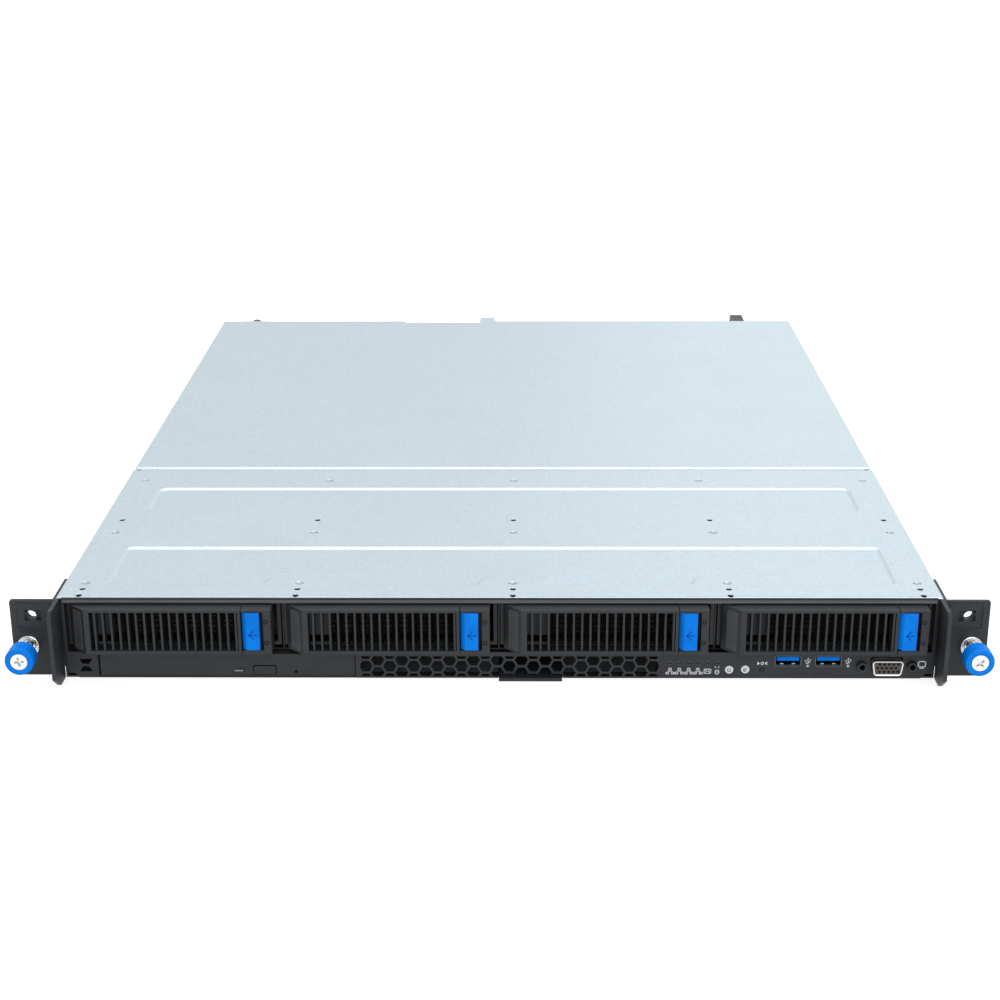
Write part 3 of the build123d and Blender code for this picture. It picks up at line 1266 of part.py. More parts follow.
def fan_rotor(x):
    """Hub with twisted blades, turning on the spindle of its frame."""
    front, back = FAN_Y + ROTOR_IN, FAN_Y + FAN_DEPTH - MOTOR_T - MOVING_GAP
    span = back - front
    blade = Pos(0, 0, (HUB_R + ROTOR_R) / 2) * Rot(0, 0, BLADE_TURN) * Box(
        BLADE_T, span * BLADE_SPAN, ROTOR_R - HUB_R + 2 * BLADE_ROOT)
    reach = rod_y(x, FAN_Z, ROTOR_R, front + BLADE_CLEAR[0], back - BLADE_CLEAR[1])
    rotor = rod_y(x, FAN_Z, HUB_R, front, back)
    for i in range(BLADES):
        turned = Pos(x, (front + back) / 2, FAN_Z) * Rot(0, 360 / BLADES * i, 0) * blade
        rotor += turned & reach
    return rotor - rod_y(x, FAN_Z, SPINDLE_PIN_R + PIN_CLEARANCE,
                         FAN_Y + SPINDLE_PIN_START - MOVING_GAP, back)


def motherboard():
    """Main circuit board on its standoffs, with its power and input chips."""
    board = block(*MAIN_BOARD_X, *MAIN_BOARD_Y, MAIN_BOARD_Z, BOARD_TOP)
    left, right = MAIN_BOARD_X
    front, back = MAIN_BOARD_Y
    for x in (left + STANDOFF_IN[0], left + STANDOFF_IN[1], right - STANDOFF_IN[2]):
        for y in (front + STANDOFF_ENDS[0], back - STANDOFF_ENDS[1]):
            board += upward(Pos(x, y) * disc(STANDOFF_R), SHEET, MAIN_BOARD_Z)
    run, w, l, h = SIDE_CHIP
    chips = [(left + run, SINK_MIDDLE[1], w, l, h)]
    chips += [(left + run, back - rise, w, l, h) for run, rise, w, l, h in REAR_CHIPS]
    for x, y, w, l, h in chips:
        board += block(x, x + w, y, y + l, BOARD_TOP, BOARD_TOP + h)
    return board


def heatsink():
    """Finned block over the processor's socket."""
    x, y = SINK_MIDDLE
    half = SINK_SIZE / 2
    foot = BOARD_TOP + SOCKET_H
    sink = block(x - half, x + half, y - half, y + half, BOARD_TOP, foot + SINK_BASE)
    pitch = (SINK_SIZE - FIN_T) / (FINS - 1)
    for i in range(FINS):
        left = x - half + pitch * i
        sink += block(left, left + FIN_T, y - half, y + half, foot, SINK_TOP)
    return sink


def memory_xs():
    """Positions of the memory sockets across the board."""
    return [MAIN_BOARD_X[0] + MEMORY_START + MEMORY_PITCH * i for i in range(MEMORY)]


def memory_slots():
    """Long sockets for the memory modules, with an end latch at each end."""
    y0 = SINK_MIDDLE[1] - MEMORY_L / 2 - SOCKET_END
    y1 = SINK_MIDDLE[1] + MEMORY_L / 2 + SOCKET_END
    half, length, rise = LATCH_POST
    groove_half, groove_in, groove_low = SOCKET_GROOVE
    sockets = []
    for x in memory_xs():
        socket = block(x - SOCKET_HALF, x + SOCKET_HALF, y0, y1, BOARD_TOP,
                       BOARD_TOP + SOCKET_RISE)
        for end in (y0, y1 - length):
            socket += block(x - half, x + half, end, end + length, BOARD_TOP, BOARD_TOP + rise)
        sockets.append(socket - block(x - groove_half, x + groove_half, y0 + groove_in,
                                      y1 - groove_in, BOARD_TOP + groove_low,
                                      BOARD_TOP + SOCKET_RISE))
    return sockets


def memory_modules():
    """Low memory modules standing in their sockets, with chips on one face."""
    y0, y1 = SINK_MIDDLE[1] - MEMORY_L / 2, SINK_MIDDLE[1] + MEMORY_L / 2
    low = BOARD_TOP + MEMORY_SEAT
    modules = []
    for x in memory_xs():
        module = block(x - MEMORY_HALF_T, x + MEMORY_HALF_T, y0, y1, low, low + MEMORY_H)
        for i in range(MEMORY_CHIPS):
            chip = y0 + MEMORY_CHIP_FIRST + MEMORY_CHIP_PITCH * i
            module += block(x - MEMORY_CHIP_FACE, x - MEMORY_HALF_T, chip, chip + MEMORY_CHIP_L,
                            BOARD_TOP + MEMORY_CHIP_Z[0], BOARD_TOP + MEMORY_CHIP_Z[1])
        modules.append(module)
    return modules


def pieces():
    """Every piece of the server by name; a list is a group of like solids."""
    made = {
        "chassis_tray": chassis_tray(),
        "rear_panel": rear_panel(),
        "rear_io_plate": rear_io_plate(),
        "rear_ports": rear_ports(),
        "slot_bracket": slot_bracket(),
        "front_top_cover": front_top_cover(),
        "rear_top_cover": rear_top_cover(),
        "cover_thumbscrew": cover_thumbscrew(),
        "cover_screws": cover_screws(),
        "bay_shelf": bay_shelf(),
        "bay_dividers": bay_dividers(),
        "backplane_board": backplane_board(),
        "drive_connectors": drive_connectors(),
        "front_panel": front_panel(),
        "vent_grille": vent_grille(),
        "io_bezel": io_bezel(),
        "front_port_shells": front_port_shells(),
        "front_usb_tongues": front_usb_tongues(),
        "front_io_board": front_io_board(),
        "power_button": push_button(POWER_AT, PUSH_R),
        "identify_button": push_button(IDENTIFY_AT, PUSH_R),
        "reset_button": push_button(RESET_AT, RESET_R),
        "optical_drive_body": optical_drive_body(),
        "optical_tray": optical_tray(),
        "eject_button": eject_button(),
        "asset_tag": asset_tag(),
        "left_rack_ear": mirrored(rack_ear()),
        "right_rack_ear": rack_ear(),
        "screw_ferrules": screw_ferrules(),
        "left_thumb_screw": mirrored(thumb_screw()),
        "right_thumb_screw": thumb_screw(),
        "left_thumb_knob": mirrored(thumb_knob()),
        "right_thumb_knob": thumb_knob(),
        "power_supply": power_supply(),
        "power_supply_latch": power_supply_latch(),
        "fan_frames": fan_frames(),
        "motherboard": motherboard(),
        "heatsink": heatsink(),
        "memory_slots": memory_slots(),
        "memory_modules": memory_modules(),
    }
    for i, x in enumerate(BAY_XS, 1):
        made[f"drive_carrier_{i}"] = drive_carrier(x)
        made[f"drive_lever_{i}"] = drive_lever(x)
        made[f"drive_latch_{i}"] = drive_latch(x)
        made[f"hard_drive_{i}"] = hard_drive(x)
    for i in range(FANS):
        made[f"fan_rotor_{i + 1}"] = fan_rotor(FAN_FIRST_X + FAN_PITCH * i)
    return made


os.makedirs("parts", exist_ok=True)
for name, piece in pieces().items():
    shape = Compound(children=list(piece)) if isinstance(piece, list) else piece
    export_step(Pos(0, ORIGIN_SHIFT, 0) * shape, f"parts/{name}.step")
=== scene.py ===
"""Looks of the 1U rack server: its finishes, its detailed pieces, the studio and the camera.

Every length in this file is in millimetres until a mesh is written. X runs to the right seen from
the front and Z runs up from the underside. Y is counted from the front edge of the front cover
towards the rear, and ``to_frame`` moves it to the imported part's frame, in metres.
"""
from __future__ import annotations

import json
import logging
import math
from dataclasses import dataclass, field
from enum import Enum

import bmesh
import bpy
import numpy as np
from mathutils import Matrix, Vector
from mathutils.geometry import tessellate_polygon

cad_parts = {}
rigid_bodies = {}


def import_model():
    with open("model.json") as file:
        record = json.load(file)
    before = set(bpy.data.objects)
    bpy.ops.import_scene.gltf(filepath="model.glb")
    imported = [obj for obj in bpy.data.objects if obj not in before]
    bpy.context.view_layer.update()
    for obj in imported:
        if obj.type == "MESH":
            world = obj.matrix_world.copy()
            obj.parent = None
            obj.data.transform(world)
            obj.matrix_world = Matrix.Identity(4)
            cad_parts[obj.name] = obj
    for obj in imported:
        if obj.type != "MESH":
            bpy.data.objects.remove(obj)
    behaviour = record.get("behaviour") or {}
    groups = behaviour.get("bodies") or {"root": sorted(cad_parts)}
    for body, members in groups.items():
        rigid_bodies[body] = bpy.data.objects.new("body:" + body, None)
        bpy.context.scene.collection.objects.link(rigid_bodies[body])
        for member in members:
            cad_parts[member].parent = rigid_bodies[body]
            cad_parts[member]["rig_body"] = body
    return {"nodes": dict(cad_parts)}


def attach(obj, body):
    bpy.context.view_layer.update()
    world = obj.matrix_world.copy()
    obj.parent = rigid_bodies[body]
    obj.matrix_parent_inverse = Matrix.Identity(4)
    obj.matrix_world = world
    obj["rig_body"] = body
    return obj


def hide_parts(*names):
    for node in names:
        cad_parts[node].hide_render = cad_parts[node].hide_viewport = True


LOG = logging.getLogger("rack_server")
MM = 0.001
ORIGIN_SHIFT = -276.8
HEIGHT = 43.6
BAY_CENTRES = (-161.25, -53.75, 53.75, 161.25)
PHOTO_SIZE = 1000.0
PRINT_HEIGHT = 0.03

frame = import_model()


# Shapes


class Facing(Enum):
    """The direction that a flat drawing faces."""

    TOP = "top"
    FRONT = "front"
    REAR = "rear"


def to_frame(points: np.ndarray) -> np.ndarray:
    """Millimetres from the cover's front edge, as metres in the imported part's frame."""
    return (np.asarray(points, float) + (0.0, ORIGIN_SHIFT, 0.0)) * MM


def lift(uv: np.ndarray, height: np.ndarray | float, facing: Facing, level: float) -> np.ndarray:
    """Places a flat drawing in space.

    A point (u, v) at height h stands at level + h along the direction that the drawing faces. Its u
    runs along X, and its v along Y on a drawing that faces up and along Z on the others.

    Args:
        uv: Points of the drawing, one row each.
        height: Height of each point over the level, towards the viewer.
        facing: Direction that the drawing faces.
        level: Where the drawing's plane stands along that direction.

    Returns:
        The points in space, one row each.
    """
    u, v = uv[..., 0], uv[..., 1]
    h = np.broadcast_to(np.asarray(height, float), u.shape)
    if facing is Facing.TOP:
        return np.stack((u, v, level + h), -1)
    along = -1 if facing is Facing.FRONT else 1
    return np.stack((u, level + along * h, v), -1)


def round_angles(count: int) -> np.ndarray:
    """Angles spread evenly over one full turn."""
    return np.arange(count) * (2 * math.pi / count)


def circle(x: float, y: float, radius: float, count: int) -> np.ndarray:
    """Closed loop: a point at angle t is the centre plus radius times (cos t, sin t)."""
    t = round_angles(count)
    return np.stack((x + radius * np.cos(t), y + radius * np.sin(t)), -1)


def polygon(corners: list[tuple[float, float]], radius: float, steps: int = 5) -> np.ndarray:
    """Closed loop with round corners.

    Each corner is replaced by an arc of the given radius that touches both of its edges. The arc's
    middle lies on the corner's bisector, and its points are that middle plus radius times a unit
    vector that turns evenly from one edge's normal to the other's.

    Args:
        corners: The corners in order.
        radius: Radius of every corner.
        steps: Points along each arc.

    Returns:
        The loop's points, one row each.
    """
    p = np.asarray(corners, float)
    before = np.roll(p, 1, 0) - p
    after = np.roll(p, -1, 0) - p
    before /= np.linalg.norm(before, axis=1, keepdims=True)
    after /= np.linalg.norm(after, axis=1, keepdims=True)
    half = np.arccos(np.clip((before * after).sum(1), -1, 1)) / 2
    bisector = before + after
    bisector /= np.linalg.norm(bisector, axis=1, keepdims=True)
    middle = p + bisector * (radius / np.sin(half))[:, None]
    start = p + before * (radius / np.tan(half))[:, None] - middle
    end = p + after * (radius / np.tan(half))[:, None] - middle
    a0 = np.arctan2(start[:, 1], start[:, 0])
    sweep = (np.arctan2(end[:, 1], end[:, 0]) - a0 + math.pi) % (2 * math.pi) - math.pi
    angle = a0[:, None] + sweep[:, None] * np.linspace(0, 1, steps)[None, :]
    arc = np.stack((np.cos(angle), np.sin(angle)), -1) * radius
    return (middle[:, None, :] + arc).reshape(-1, 2)


def rectangle(x0: float, x1: float, y0: float, y1: float, radius: float = 0.4,
              steps: int = 5) -> np.ndarray:
    """Closed loop round a rectangle with round corners, by the formula of polygon."""
    return polygon([(x0, y0), (x1, y0), (x1, y1), (x0, y1)], radius, steps)


def grown(loop: np.ndarray, distance: float) -> np.ndarray:
    """The loop moved outwards by a distance.

    Each point moves along the sum of its two edges' outward normals, divided by one plus their dot
    product, so that both edges move by the distance itself.
    """
    edge = np.roll(loop, -1, 0) - loop
    normal = np.stack((edge[:, 1], -edge[:, 0]), -1)
    normal /= np.maximum(np.linalg.norm(normal, axis=1, keepdims=True), 1e-9)
    last = np.roll(normal, 1, 0)
    mitre = (normal + last) / (1 + (normal * last).sum(1, keepdims=True))
    return loop + distance * mitre


def arc(x: float, z: float, radius: float, start: float, end: float,
        count: int = 12) -> np.ndarray:
    """Short straight lines along an arc: its points are the centre plus radius (cos t, sin t)."""
    t = np.radians(np.linspace(start, end, count + 1))
    run = np.stack((x + radius * np.cos(t), z + radius * np.sin(t)), -1)
    return np.stack((run[:-1], run[1:]), 1)


def path(points: list[tuple[float, float]]) -> np.ndarray:
    """Straight lines from each point to the next."""
    run = np.asarray(points, float)
    return np.stack((run[:-1], run[1:]), 1)


class Shell:
    """A mesh in the making: points and faces in millimetres."""

    def __init__(self) -> None:
        """Starts with no points and no faces."""
        self.points: list[np.ndarray] = []
        self.faces: list[tuple[int, ...]] = []
        self.count = 0

    def add(self, points: np.ndarray) -> int:
        """Keeps more points and returns the number of the first one."""
        first = self.count
        flat = np.asarray(points, float).reshape(-1, 3)
        self.points.append(flat)
        self.count += len(flat)
        return first

    def join(self, numbers: np.ndarray) -> None:
        """Keeps faces, given as rows of point numbers."""
        self.faces += list(map(tuple, numbers.tolist()))

    def skin(self, loops: np.ndarray, closed: bool = True, start: bool = False,
             end: bool = False) -> None:
        """Joins loops of equally many points with four-sided faces.

        Args:
            loops: Loops by points by three coordinates.
            closed: Whether each loop's last point joins its first.
            start: Whether the first loop is filled.
            end: Whether the last loop is filled.
        """
        rows, cols = loops.shape[:2]
        first = self.add(loops)
        number = first + np.arange(rows * cols).reshape(rows, cols)
        if closed:
            number = np.hstack((number, number[:, :1]))
        a, b = number[:-1, :-1], number[:-1, 1:]
        c, d = number[1:, 1:], number[1:, :-1]
        self.join(np.stack((a, b, c, d), -1).reshape(-1, 4))
        if start:
            self.join(first + np.arange(cols)[None, ::-1])
        if end:
            self.join(first + (rows - 1) * cols + np.arange(cols)[None, :])

    def ring(self, loop: np.ndarray, profile: list[tuple[float, float]], facing: Facing,
             level: float, start: bool = False, end: bool = False) -> None:
        """Carries a profile round a flat loop.

        The loop at profile step (g, h) is the flat loop grown by g and lifted by h, so the profile
        runs from the outside inwards over the shape's visible side.
        """
        loops = [lift(grown(loop, g), h, facing, level) for g, h in profile]
        self.skin(np.stack(loops), True, start, end)

    def flat(self, outer: np.ndarray, holes: list[np.ndarray], facing: Facing, level: float,
             height: float = 0.0) -> None:
        """Fills the flat area inside one loop and outside others with triangles."""
        loops = [outer, *holes]
        uv = np.vstack(loops)
        first = self.add(lift(uv, height, facing, level))
        fans = tessellate_polygon([[Vector((*p, 0.0)) for p in loop] for loop in loops])
        tri = np.asarray(fans, int)
        a, b, c = uv[tri[:, 0]], uv[tri[:, 1]], uv[tri[:, 2]]
        turn = (b[:, 0] - a[:, 0]) * (c[:, 1] - a[:, 1]) - (b[:, 1] - a[:, 1]) * (c[:, 0] - a[:, 0])
        tri[turn < 0] = tri[turn < 0][:, ::-1]
        self.join(tri[np.abs(turn) > 1e-9] + first)

    def prism(self, loop: np.ndarray, low: float, high: float, facing: Facing, level: float,
              ease: float = 0.0) -> None:
        """Closed block over a flat loop, its front edge rounded by ease."""
        profile = [(0.0, low)]
        for t in np.linspace(0, math.pi / 2, 4) if ease else [0.0]:
            profile.append((-ease * (1 - math.cos(t)), high - ease * (1 - math.sin(t))))
        self.ring(loop, profile, facing, level, True, True)

    def strokes(self, lines: np.ndarray, width: float, facing: Facing, level: float,
                height: float = PRINT_HEIGHT) -> None:
        """Draws straight lines as thin bars, as thick as print or as a given height.

        A bar's corners are the line's ends moved by half the width, along the line away from its
        middle and across it to both sides, once on the level and once at the height over it.
        """
        half = width / 2
        along = lines[:, 1] - lines[:, 0]
        along /= np.linalg.norm(along, axis=1, keepdims=True)
        off = np.stack((-along[:, 1], along[:, 0]), -1) * half
        a, b = lines[:, 0] - along * half, lines[:, 1] + along * half
        corners = np.stack((a - off, b - off, b + off, a + off), 1)
        both = np.concatenate((lift(corners, 0.0, facing, level),
                               lift(corners, height, facing, level)), 1)
        first = self.add(both) + 8 * np.arange(len(lines))[:, None, None]
        sides = np.array([[0, 3, 2, 1], [4, 5, 6, 7], [0, 1, 5, 4], [1, 2, 6, 5], [2, 3, 7, 6],
                          [3, 0, 4, 7]])
        self.join((first + sides).reshape(-1, 4))

    def turned(self, profile: np.ndarray, x: float, z: float, count: int = 48,
               shape: np.ndarray | None = None) -> None:
        """Turns a closed profile of (radius, y) rows about an axis along the depth.

        The point of profile row i at angle t is (x + s r cos t, y, z + s r sin t), where s is one
        or the given table's value for that row and angle.
        """
        t = round_angles(count)
        scale = np.ones((len(profile), count)) if shape is None else shape
        radius = profile[:, :1] * scale
        y = np.broadcast_to(profile[:, 1:], radius.shape)
        loops = np.stack((x + radius * np.cos(t), y, z + radius * np.sin(t)), -1)
        self.skin(loops)

    def mesh(self, name: str, closed: bool = True) -> bpy.types.Mesh:
        """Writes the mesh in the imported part's frame, doubles merged and facing outwards."""
        data = bpy.data.meshes.new(name)
        data.from_pydata(to_frame(np.vstack(self.points)).tolist(), [], self.faces)
        work = bmesh.new()
        work.from_mesh(data)
        bmesh.ops.remove_doubles(work, verts=work.verts, dist=1e-6)
        bmesh.ops.dissolve_degenerate(work, edges=work.edges, dist=1e-7)
        if closed:
            bmesh.ops.recalc_face_normals(work, faces=work.faces)
        work.to_mesh(data)
        work.free()
        return data


def smooth(data: bpy.types.Mesh, angle: float = 35.0) -> None:
    """Shades a mesh smoothly, with edges sharper than the angle kept crisp."""
    data.polygons.foreach_set("use_smooth", np.ones(len(data.polygons), bool))
    data.set_sharp_from_angle(angle=math.radians(angle))


def bevelled(obj: bpy.types.Object, width: float, segments: int = 2, angle: float = 40.0) -> None:
    """Rounds an object's sharp edges by a width in millimetres."""
    bevel = obj.modifiers.new("eased_edges", "BEVEL")
    bevel.width = width * MM
    bevel.segments = segments
    bevel.limit_method = "ANGLE"
    bevel.angle_limit = math.radians(angle)
    bevel.harden_normals = True
    bevel.use_clamp_overlap = True


@dataclass
class Maker:
    """Links finished meshes to the scene, gives them a finish, attaches them to bodies and hides
    nodes.
    """

    finishes: "FinishShelf"

    def place(self, name: str, data: bpy.types.Mesh, finish: str, body: str,
              replaces: tuple[str, ...] = ()) -> bpy.types.Object:
        """Makes one piece.

        Args:
            name: The piece's name.
            data: Its mesh, already in place.
            finish: Name of its finish.
            body: Body that it moves with.
            replaces: Nodes that it stands for.

        Returns:
            The new object.
        """
        obj = bpy.data.objects.new(name, data)
        bpy.context.scene.collection.objects.link(obj)
        data.materials.clear()
        data.materials.append(self.finishes.material(finish))
        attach(obj, body)
        self.finishes.slot(finish)
        if replaces:
            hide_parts(*replaces)
        LOG.info("%s: %d faces on %s", name, len(data.polygons), body)
        return obj

    def shell(self, name: str, shell: Shell, finish: str, body: str,
              replaces: tuple[str, ...] = ()) -> bpy.types.Object:
        """Makes one piece from a closed shell."""
        data = shell.mesh(name)
        smooth(data)
        return self.place(name, data, finish, body, replaces)

    def dressed(self, node: str, finish: str, width: float, segments: int = 2) -> bpy.types.Object:
        """Makes a copy of a node with merged faces and rounded edges, which stands for the node."""
        source = frame["nodes"][node]
        data = source.data.copy()
        data.name = f"{node}_dressed"
        work = bmesh.new()
        work.from_mesh(data)
        bmesh.ops.remove_doubles(work, verts=work.verts, dist=2e-6)
        bmesh.ops.dissolve_limit(work, angle_limit=math.radians(1.0), verts=work.verts,
                                 edges=work.edges)
        work.to_mesh(data)
        work.free()
        smooth(data, 30.0)
        obj = self.place(f"{node}_dressed", data, finish, source["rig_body"], (node,))
        bevelled(obj, width, segments)
        return obj


# Finishes


def linear(red: float, green: float, blue: float) -> tuple[float, float, float, float]:
    """Colour as seen on a screen, 0 to 255, as the linear values that a shader needs."""
    c = np.array((red, green, blue), float) / 255
    low = c / 12.92
    high = ((c + 0.055) / 1.055) ** 2.4
    return (*np.where(c <= 0.04045, low, high).tolist(), 1.0)


class Graph:
    """A small wrapper that adds and joins shader nodes."""

    def __init__(self, tree: bpy.types.NodeTree) -> None:
        """Works on one node tree."""
        self.tree = tree

    def add(self, kind: str, inputs: dict[str | int, object] | None = None,
            **settings: object) -> bpy.types.Node:
        """Adds a node, sets its properties, and sets or links its inputs."""
        node = self.tree.nodes.new(kind)
        for key, value in settings.items():
            setattr(node, key, value)
        self.feed(node, inputs or {})
        return node

    def feed(self, node: bpy.types.Node, inputs: dict[str | int, object]) -> None:
        """Links a node's inputs to sockets, or sets them to plain values."""
        for key, value in inputs.items():
            if isinstance(value, bpy.types.NodeSocket):
                self.tree.links.new(value, node.inputs[key])
            else:
                node.inputs[key].default_value = value

    def effect(self, tree: bpy.types.NodeTree, *inputs: object) -> bpy.types.NodeInputs:
        """A shared effect's outputs, with its inputs given in their order."""
        return self.add("ShaderNodeGroup", dict(enumerate(inputs)), node_tree=tree).outputs

    def maths(self, kind: str, a: object, b: object = 0.0) -> bpy.types.NodeSocket:
        """One arithmetic node's result."""
        return self.add("ShaderNodeMath", {0: a, 1: b}, operation=kind).outputs[0]

    def spread(self, value: object, low: float, high: float, to_low: float,
               to_high: float) -> bpy.types.NodeSocket:
        """A value moved from one range to another, and held inside it."""
        node = self.add("ShaderNodeMapRange", {0: value, 1: low, 2: high, 3: to_low, 4: to_high})
        return node.outputs[0]

    def tint(self, factor: object, a: object, b: object) -> bpy.types.NodeSocket:
        """A colour between two, by a factor."""
        node = self.add("ShaderNodeMix", {0: factor, 6: a, 7: b}, data_type="RGBA")
        return node.outputs[2]

    def seen(self) -> bpy.types.NodeSocket:
        """One for rays from the camera or through a reflection or glass, and nought for others."""
        rays = self.add("ShaderNodeLightPath").outputs
        seen = self.maths("MAXIMUM", rays["Is Camera Ray"], rays["Is Glossy Ray"])
        return self.maths("MAXIMUM", seen, rays["Is Transmission Ray"])

    def noise(self, vector: object, scale: object, detail: float = 2.0,
              rough: float = 0.5) -> bpy.types.NodeSocket:
        """Cloud-like noise between 0 and 1."""
        node = self.add("ShaderNodeTexNoise",
                        {"Vector": vector, "Scale": scale, "Detail": detail, "Roughness": rough})
        return node.outputs[0]


class SharedEffects:
    """Node groups that several finishes use. They give only colours, masks and heights."""

    def __init__(self) -> None:
        """Builds each group once."""
        self.grain = self._grain()
        self.spangle = self._spangle()
        self.handling = self._handling()

    @staticmethod
    def _group(name: str, inputs: dict[str, float | None],
               outputs: tuple[str, ...]) -> tuple[bpy.types.NodeTree, Graph]:
        """An empty group with its sockets."""
        tree = bpy.data.node_groups.new(name, "ShaderNodeTree")
        for key, value in inputs.items():
            kind = "NodeSocketVector" if value is None else "NodeSocketFloat"
            socket = tree.interface.new_socket(name=key, in_out="INPUT", socket_type=kind)
            if value is not None:
                socket.default_value = value
        for key in outputs:
            tree.interface.new_socket(name=key, in_out="OUTPUT", socket_type="NodeSocketFloat")
        return tree, Graph(tree)

    def _grain(self) -> bpy.types.NodeTree:
        """Moulded or powder-coated grain: pebbles of one size with finer ones between."""
        tree, g = self._group("moulded_grain", {"Vector": None, "Scale": 2500.0},
                              ("Height", "Mottle"))
        source = g.add("NodeGroupInput")
        pebbles = g.add("ShaderNodeTexVoronoi", {"Vector": source.outputs[0],
                                                 "Scale": source.outputs[1]},
                        feature="SMOOTH_F1").outputs[0]
        fine_scale = g.maths("MULTIPLY", source.outputs[1], 2.3)
        fine = g.noise(source.outputs[0], fine_scale, 3.0)
        height = g.maths("ADD", g.maths("MULTIPLY", pebbles, 0.6), g.maths("MULTIPLY", fine, 0.6))
        wide_scale = g.maths("MULTIPLY", source.outputs[1], 0.05)
        mottle = g.noise(source.outputs[0], wide_scale, 3.0)
        g.add("NodeGroupOutput", {0: height, 1: mottle})
        return tree

    def _spangle(self) -> bpy.types.NodeTree:
        """Zinc-coated sheet: small crystals of slightly different shade over fine rolling lines."""
        tree, g = self._group("zinc_spangle", {"Vector": None, "Scale": 420.0},
                              ("Shade", "Lines", "Height"))
        source = g.add("NodeGroupInput")
        warp = g.noise(source.outputs[0], 900.0, 2.0)
        bent = g.add("ShaderNodeVectorMath", {0: source.outputs[0], 1: (0.0, 0.0, 0.0)},
                     operation="ADD")
        shift = g.add("ShaderNodeCombineXYZ", {0: g.maths("MULTIPLY", warp, 0.0012),
                                               1: g.maths("MULTIPLY", warp, -0.0010)})
        g.tree.links.new(shift.outputs[0], bent.inputs[1])
        cells = g.add("ShaderNodeTexVoronoi", {"Vector": bent.outputs[0],
                                               "Scale": source.outputs[1]}, feature="F1")
        shade = g.add("ShaderNodeSeparateColor", {0: cells.outputs["Color"]}).outputs[0]
        stretched = g.add("ShaderNodeMapping", {"Vector": source.outputs[0],
                                                "Scale": (60.0, 2600.0, 2600.0)}).outputs[0]
        lines = g.noise(stretched, 1.0, 3.0, 0.6)
        fine = g.noise(source.outputs[0], 3200.0, 2.0)
        height = g.maths("ADD", g.maths("MULTIPLY", lines, 0.5), g.maths("MULTIPLY", fine, 0.5))
        g.add("NodeGroupOutput", {0: shade, 1: lines, 2: height})
        return tree

    def _handling(self) -> bpy.types.NodeTree:
        """Traces of handling: soft smears and a few short scuffs."""
        tree, g = self._group("handling_marks", {"Vector": None}, ("Smear", "Scuff"))
        source = g.add("NodeGroupInput")
        smear = g.spread(g.noise(source.outputs[0], 22.0, 4.0, 0.6), 0.42, 0.66, 0.0, 1.0)
        slanted = g.add("ShaderNodeMapping", {"Vector": source.outputs[0],
                                              "Rotation": (0.3, 0.5, 0.9),
                                              "Scale": (40.0, 900.0, 900.0)}).outputs[0]
        scuff = g.spread(g.noise(slanted, 1.0, 2.0, 0.5), 0.70, 0.78, 0.0, 1.0)
        g.add("NodeGroupOutput", {0: smear, 1: scuff})
        return tree


@dataclass(frozen=True)
class Finish:
    """Common part of every finish."""

    name: str
    slot: str
    colour: tuple[float, float, float]

    def shade(self, factor: float = 1.0) -> tuple[float, float, float, float]:
        """The finish's colour, made darker or lighter by a factor."""
        return (*(min(1.0, factor * c) for c in linear(*self.colour)[:3]), 1.0)

    def start(self) -> tuple[bpy.types.Material, Graph, bpy.types.Node, bpy.types.NodeSocket]:
        """A new material with its shader and the object coordinates."""
        material = bpy.data.materials.new(self.name)
        material.use_nodes = True
        g = Graph(material.node_tree)
        shader = next(n for n in g.tree.nodes if n.type == "BSDF_PRINCIPLED")
        where = g.add("ShaderNodeTexCoord").outputs["Object"]
        return material, g, shader, where

    def bump(self, g: Graph, shader: bpy.types.Node, height: object, depth: float,
             strength: float) -> None:
        """Feeds a height to the shader's normal, with its depth in millimetres."""
        node = g.add("ShaderNodeBump", {"Height": height, "Distance": depth * MM,
                                        "Strength": strength})
        g.feed(shader, {"Normal": node.outputs[0]})


@dataclass(frozen=True)
class Moulded(Finish):
    """Moulded plastic or powder coat with a fine grain."""

    rough: float = 0.5
    grain: float = 0.4
    depth: float = 0.03
    specular: float = 0.5

    def material(self, effects: SharedEffects) -> bpy.types.Material:
        """Builds the material: grain in the bump, faint mottle and smears in colour and gloss."""
        material, g, shader, where = self.start()
        pebbles, mottle = g.effect(effects.grain, where, 1.0 / (self.grain * MM))
        smear, _ = g.effect(effects.handling, where)
        share = g.spread(mottle, 0.3, 0.7, 0.0, 1.0)
        g.feed(shader, {"Base Color": g.tint(share, self.shade(0.86), self.shade(1.12)),
                        "Roughness": g.spread(smear, 0.0, 1.0, self.rough, self.rough + 0.08),
                        "Specular IOR Level": self.specular})
        self.bump(g, shader, pebbles, self.depth, 0.6)
        return material


@dataclass(frozen=True)
class CoatedSheet(Finish):
    """Zinc-coated steel sheet."""

    rough: float = 0.42
    crystal: float = 2.4

    def material(self, effects: SharedEffects) -> bpy.types.Material:
        """Builds the material: crystals and rolling lines in colour, gloss and bump."""
        material, g, shader, where = self.start()
        crystals, lines, height = g.effect(effects.spangle, where, 1.0 / (self.crystal * MM))
        smear, _ = g.effect(effects.handling, where)
        varied = g.maths("ADD", g.maths("MULTIPLY", lines, 0.12), g.maths("MULTIPLY", smear, 0.05))
        g.feed(shader, {"Base Color": g.tint(crystals, self.shade(0.93), self.shade(1.05)),
                        "Metallic": 1.0, "Roughness": g.maths("ADD", varied, self.rough)})
        self.bump(g, shader, height, 0.02, 0.35)
        return material


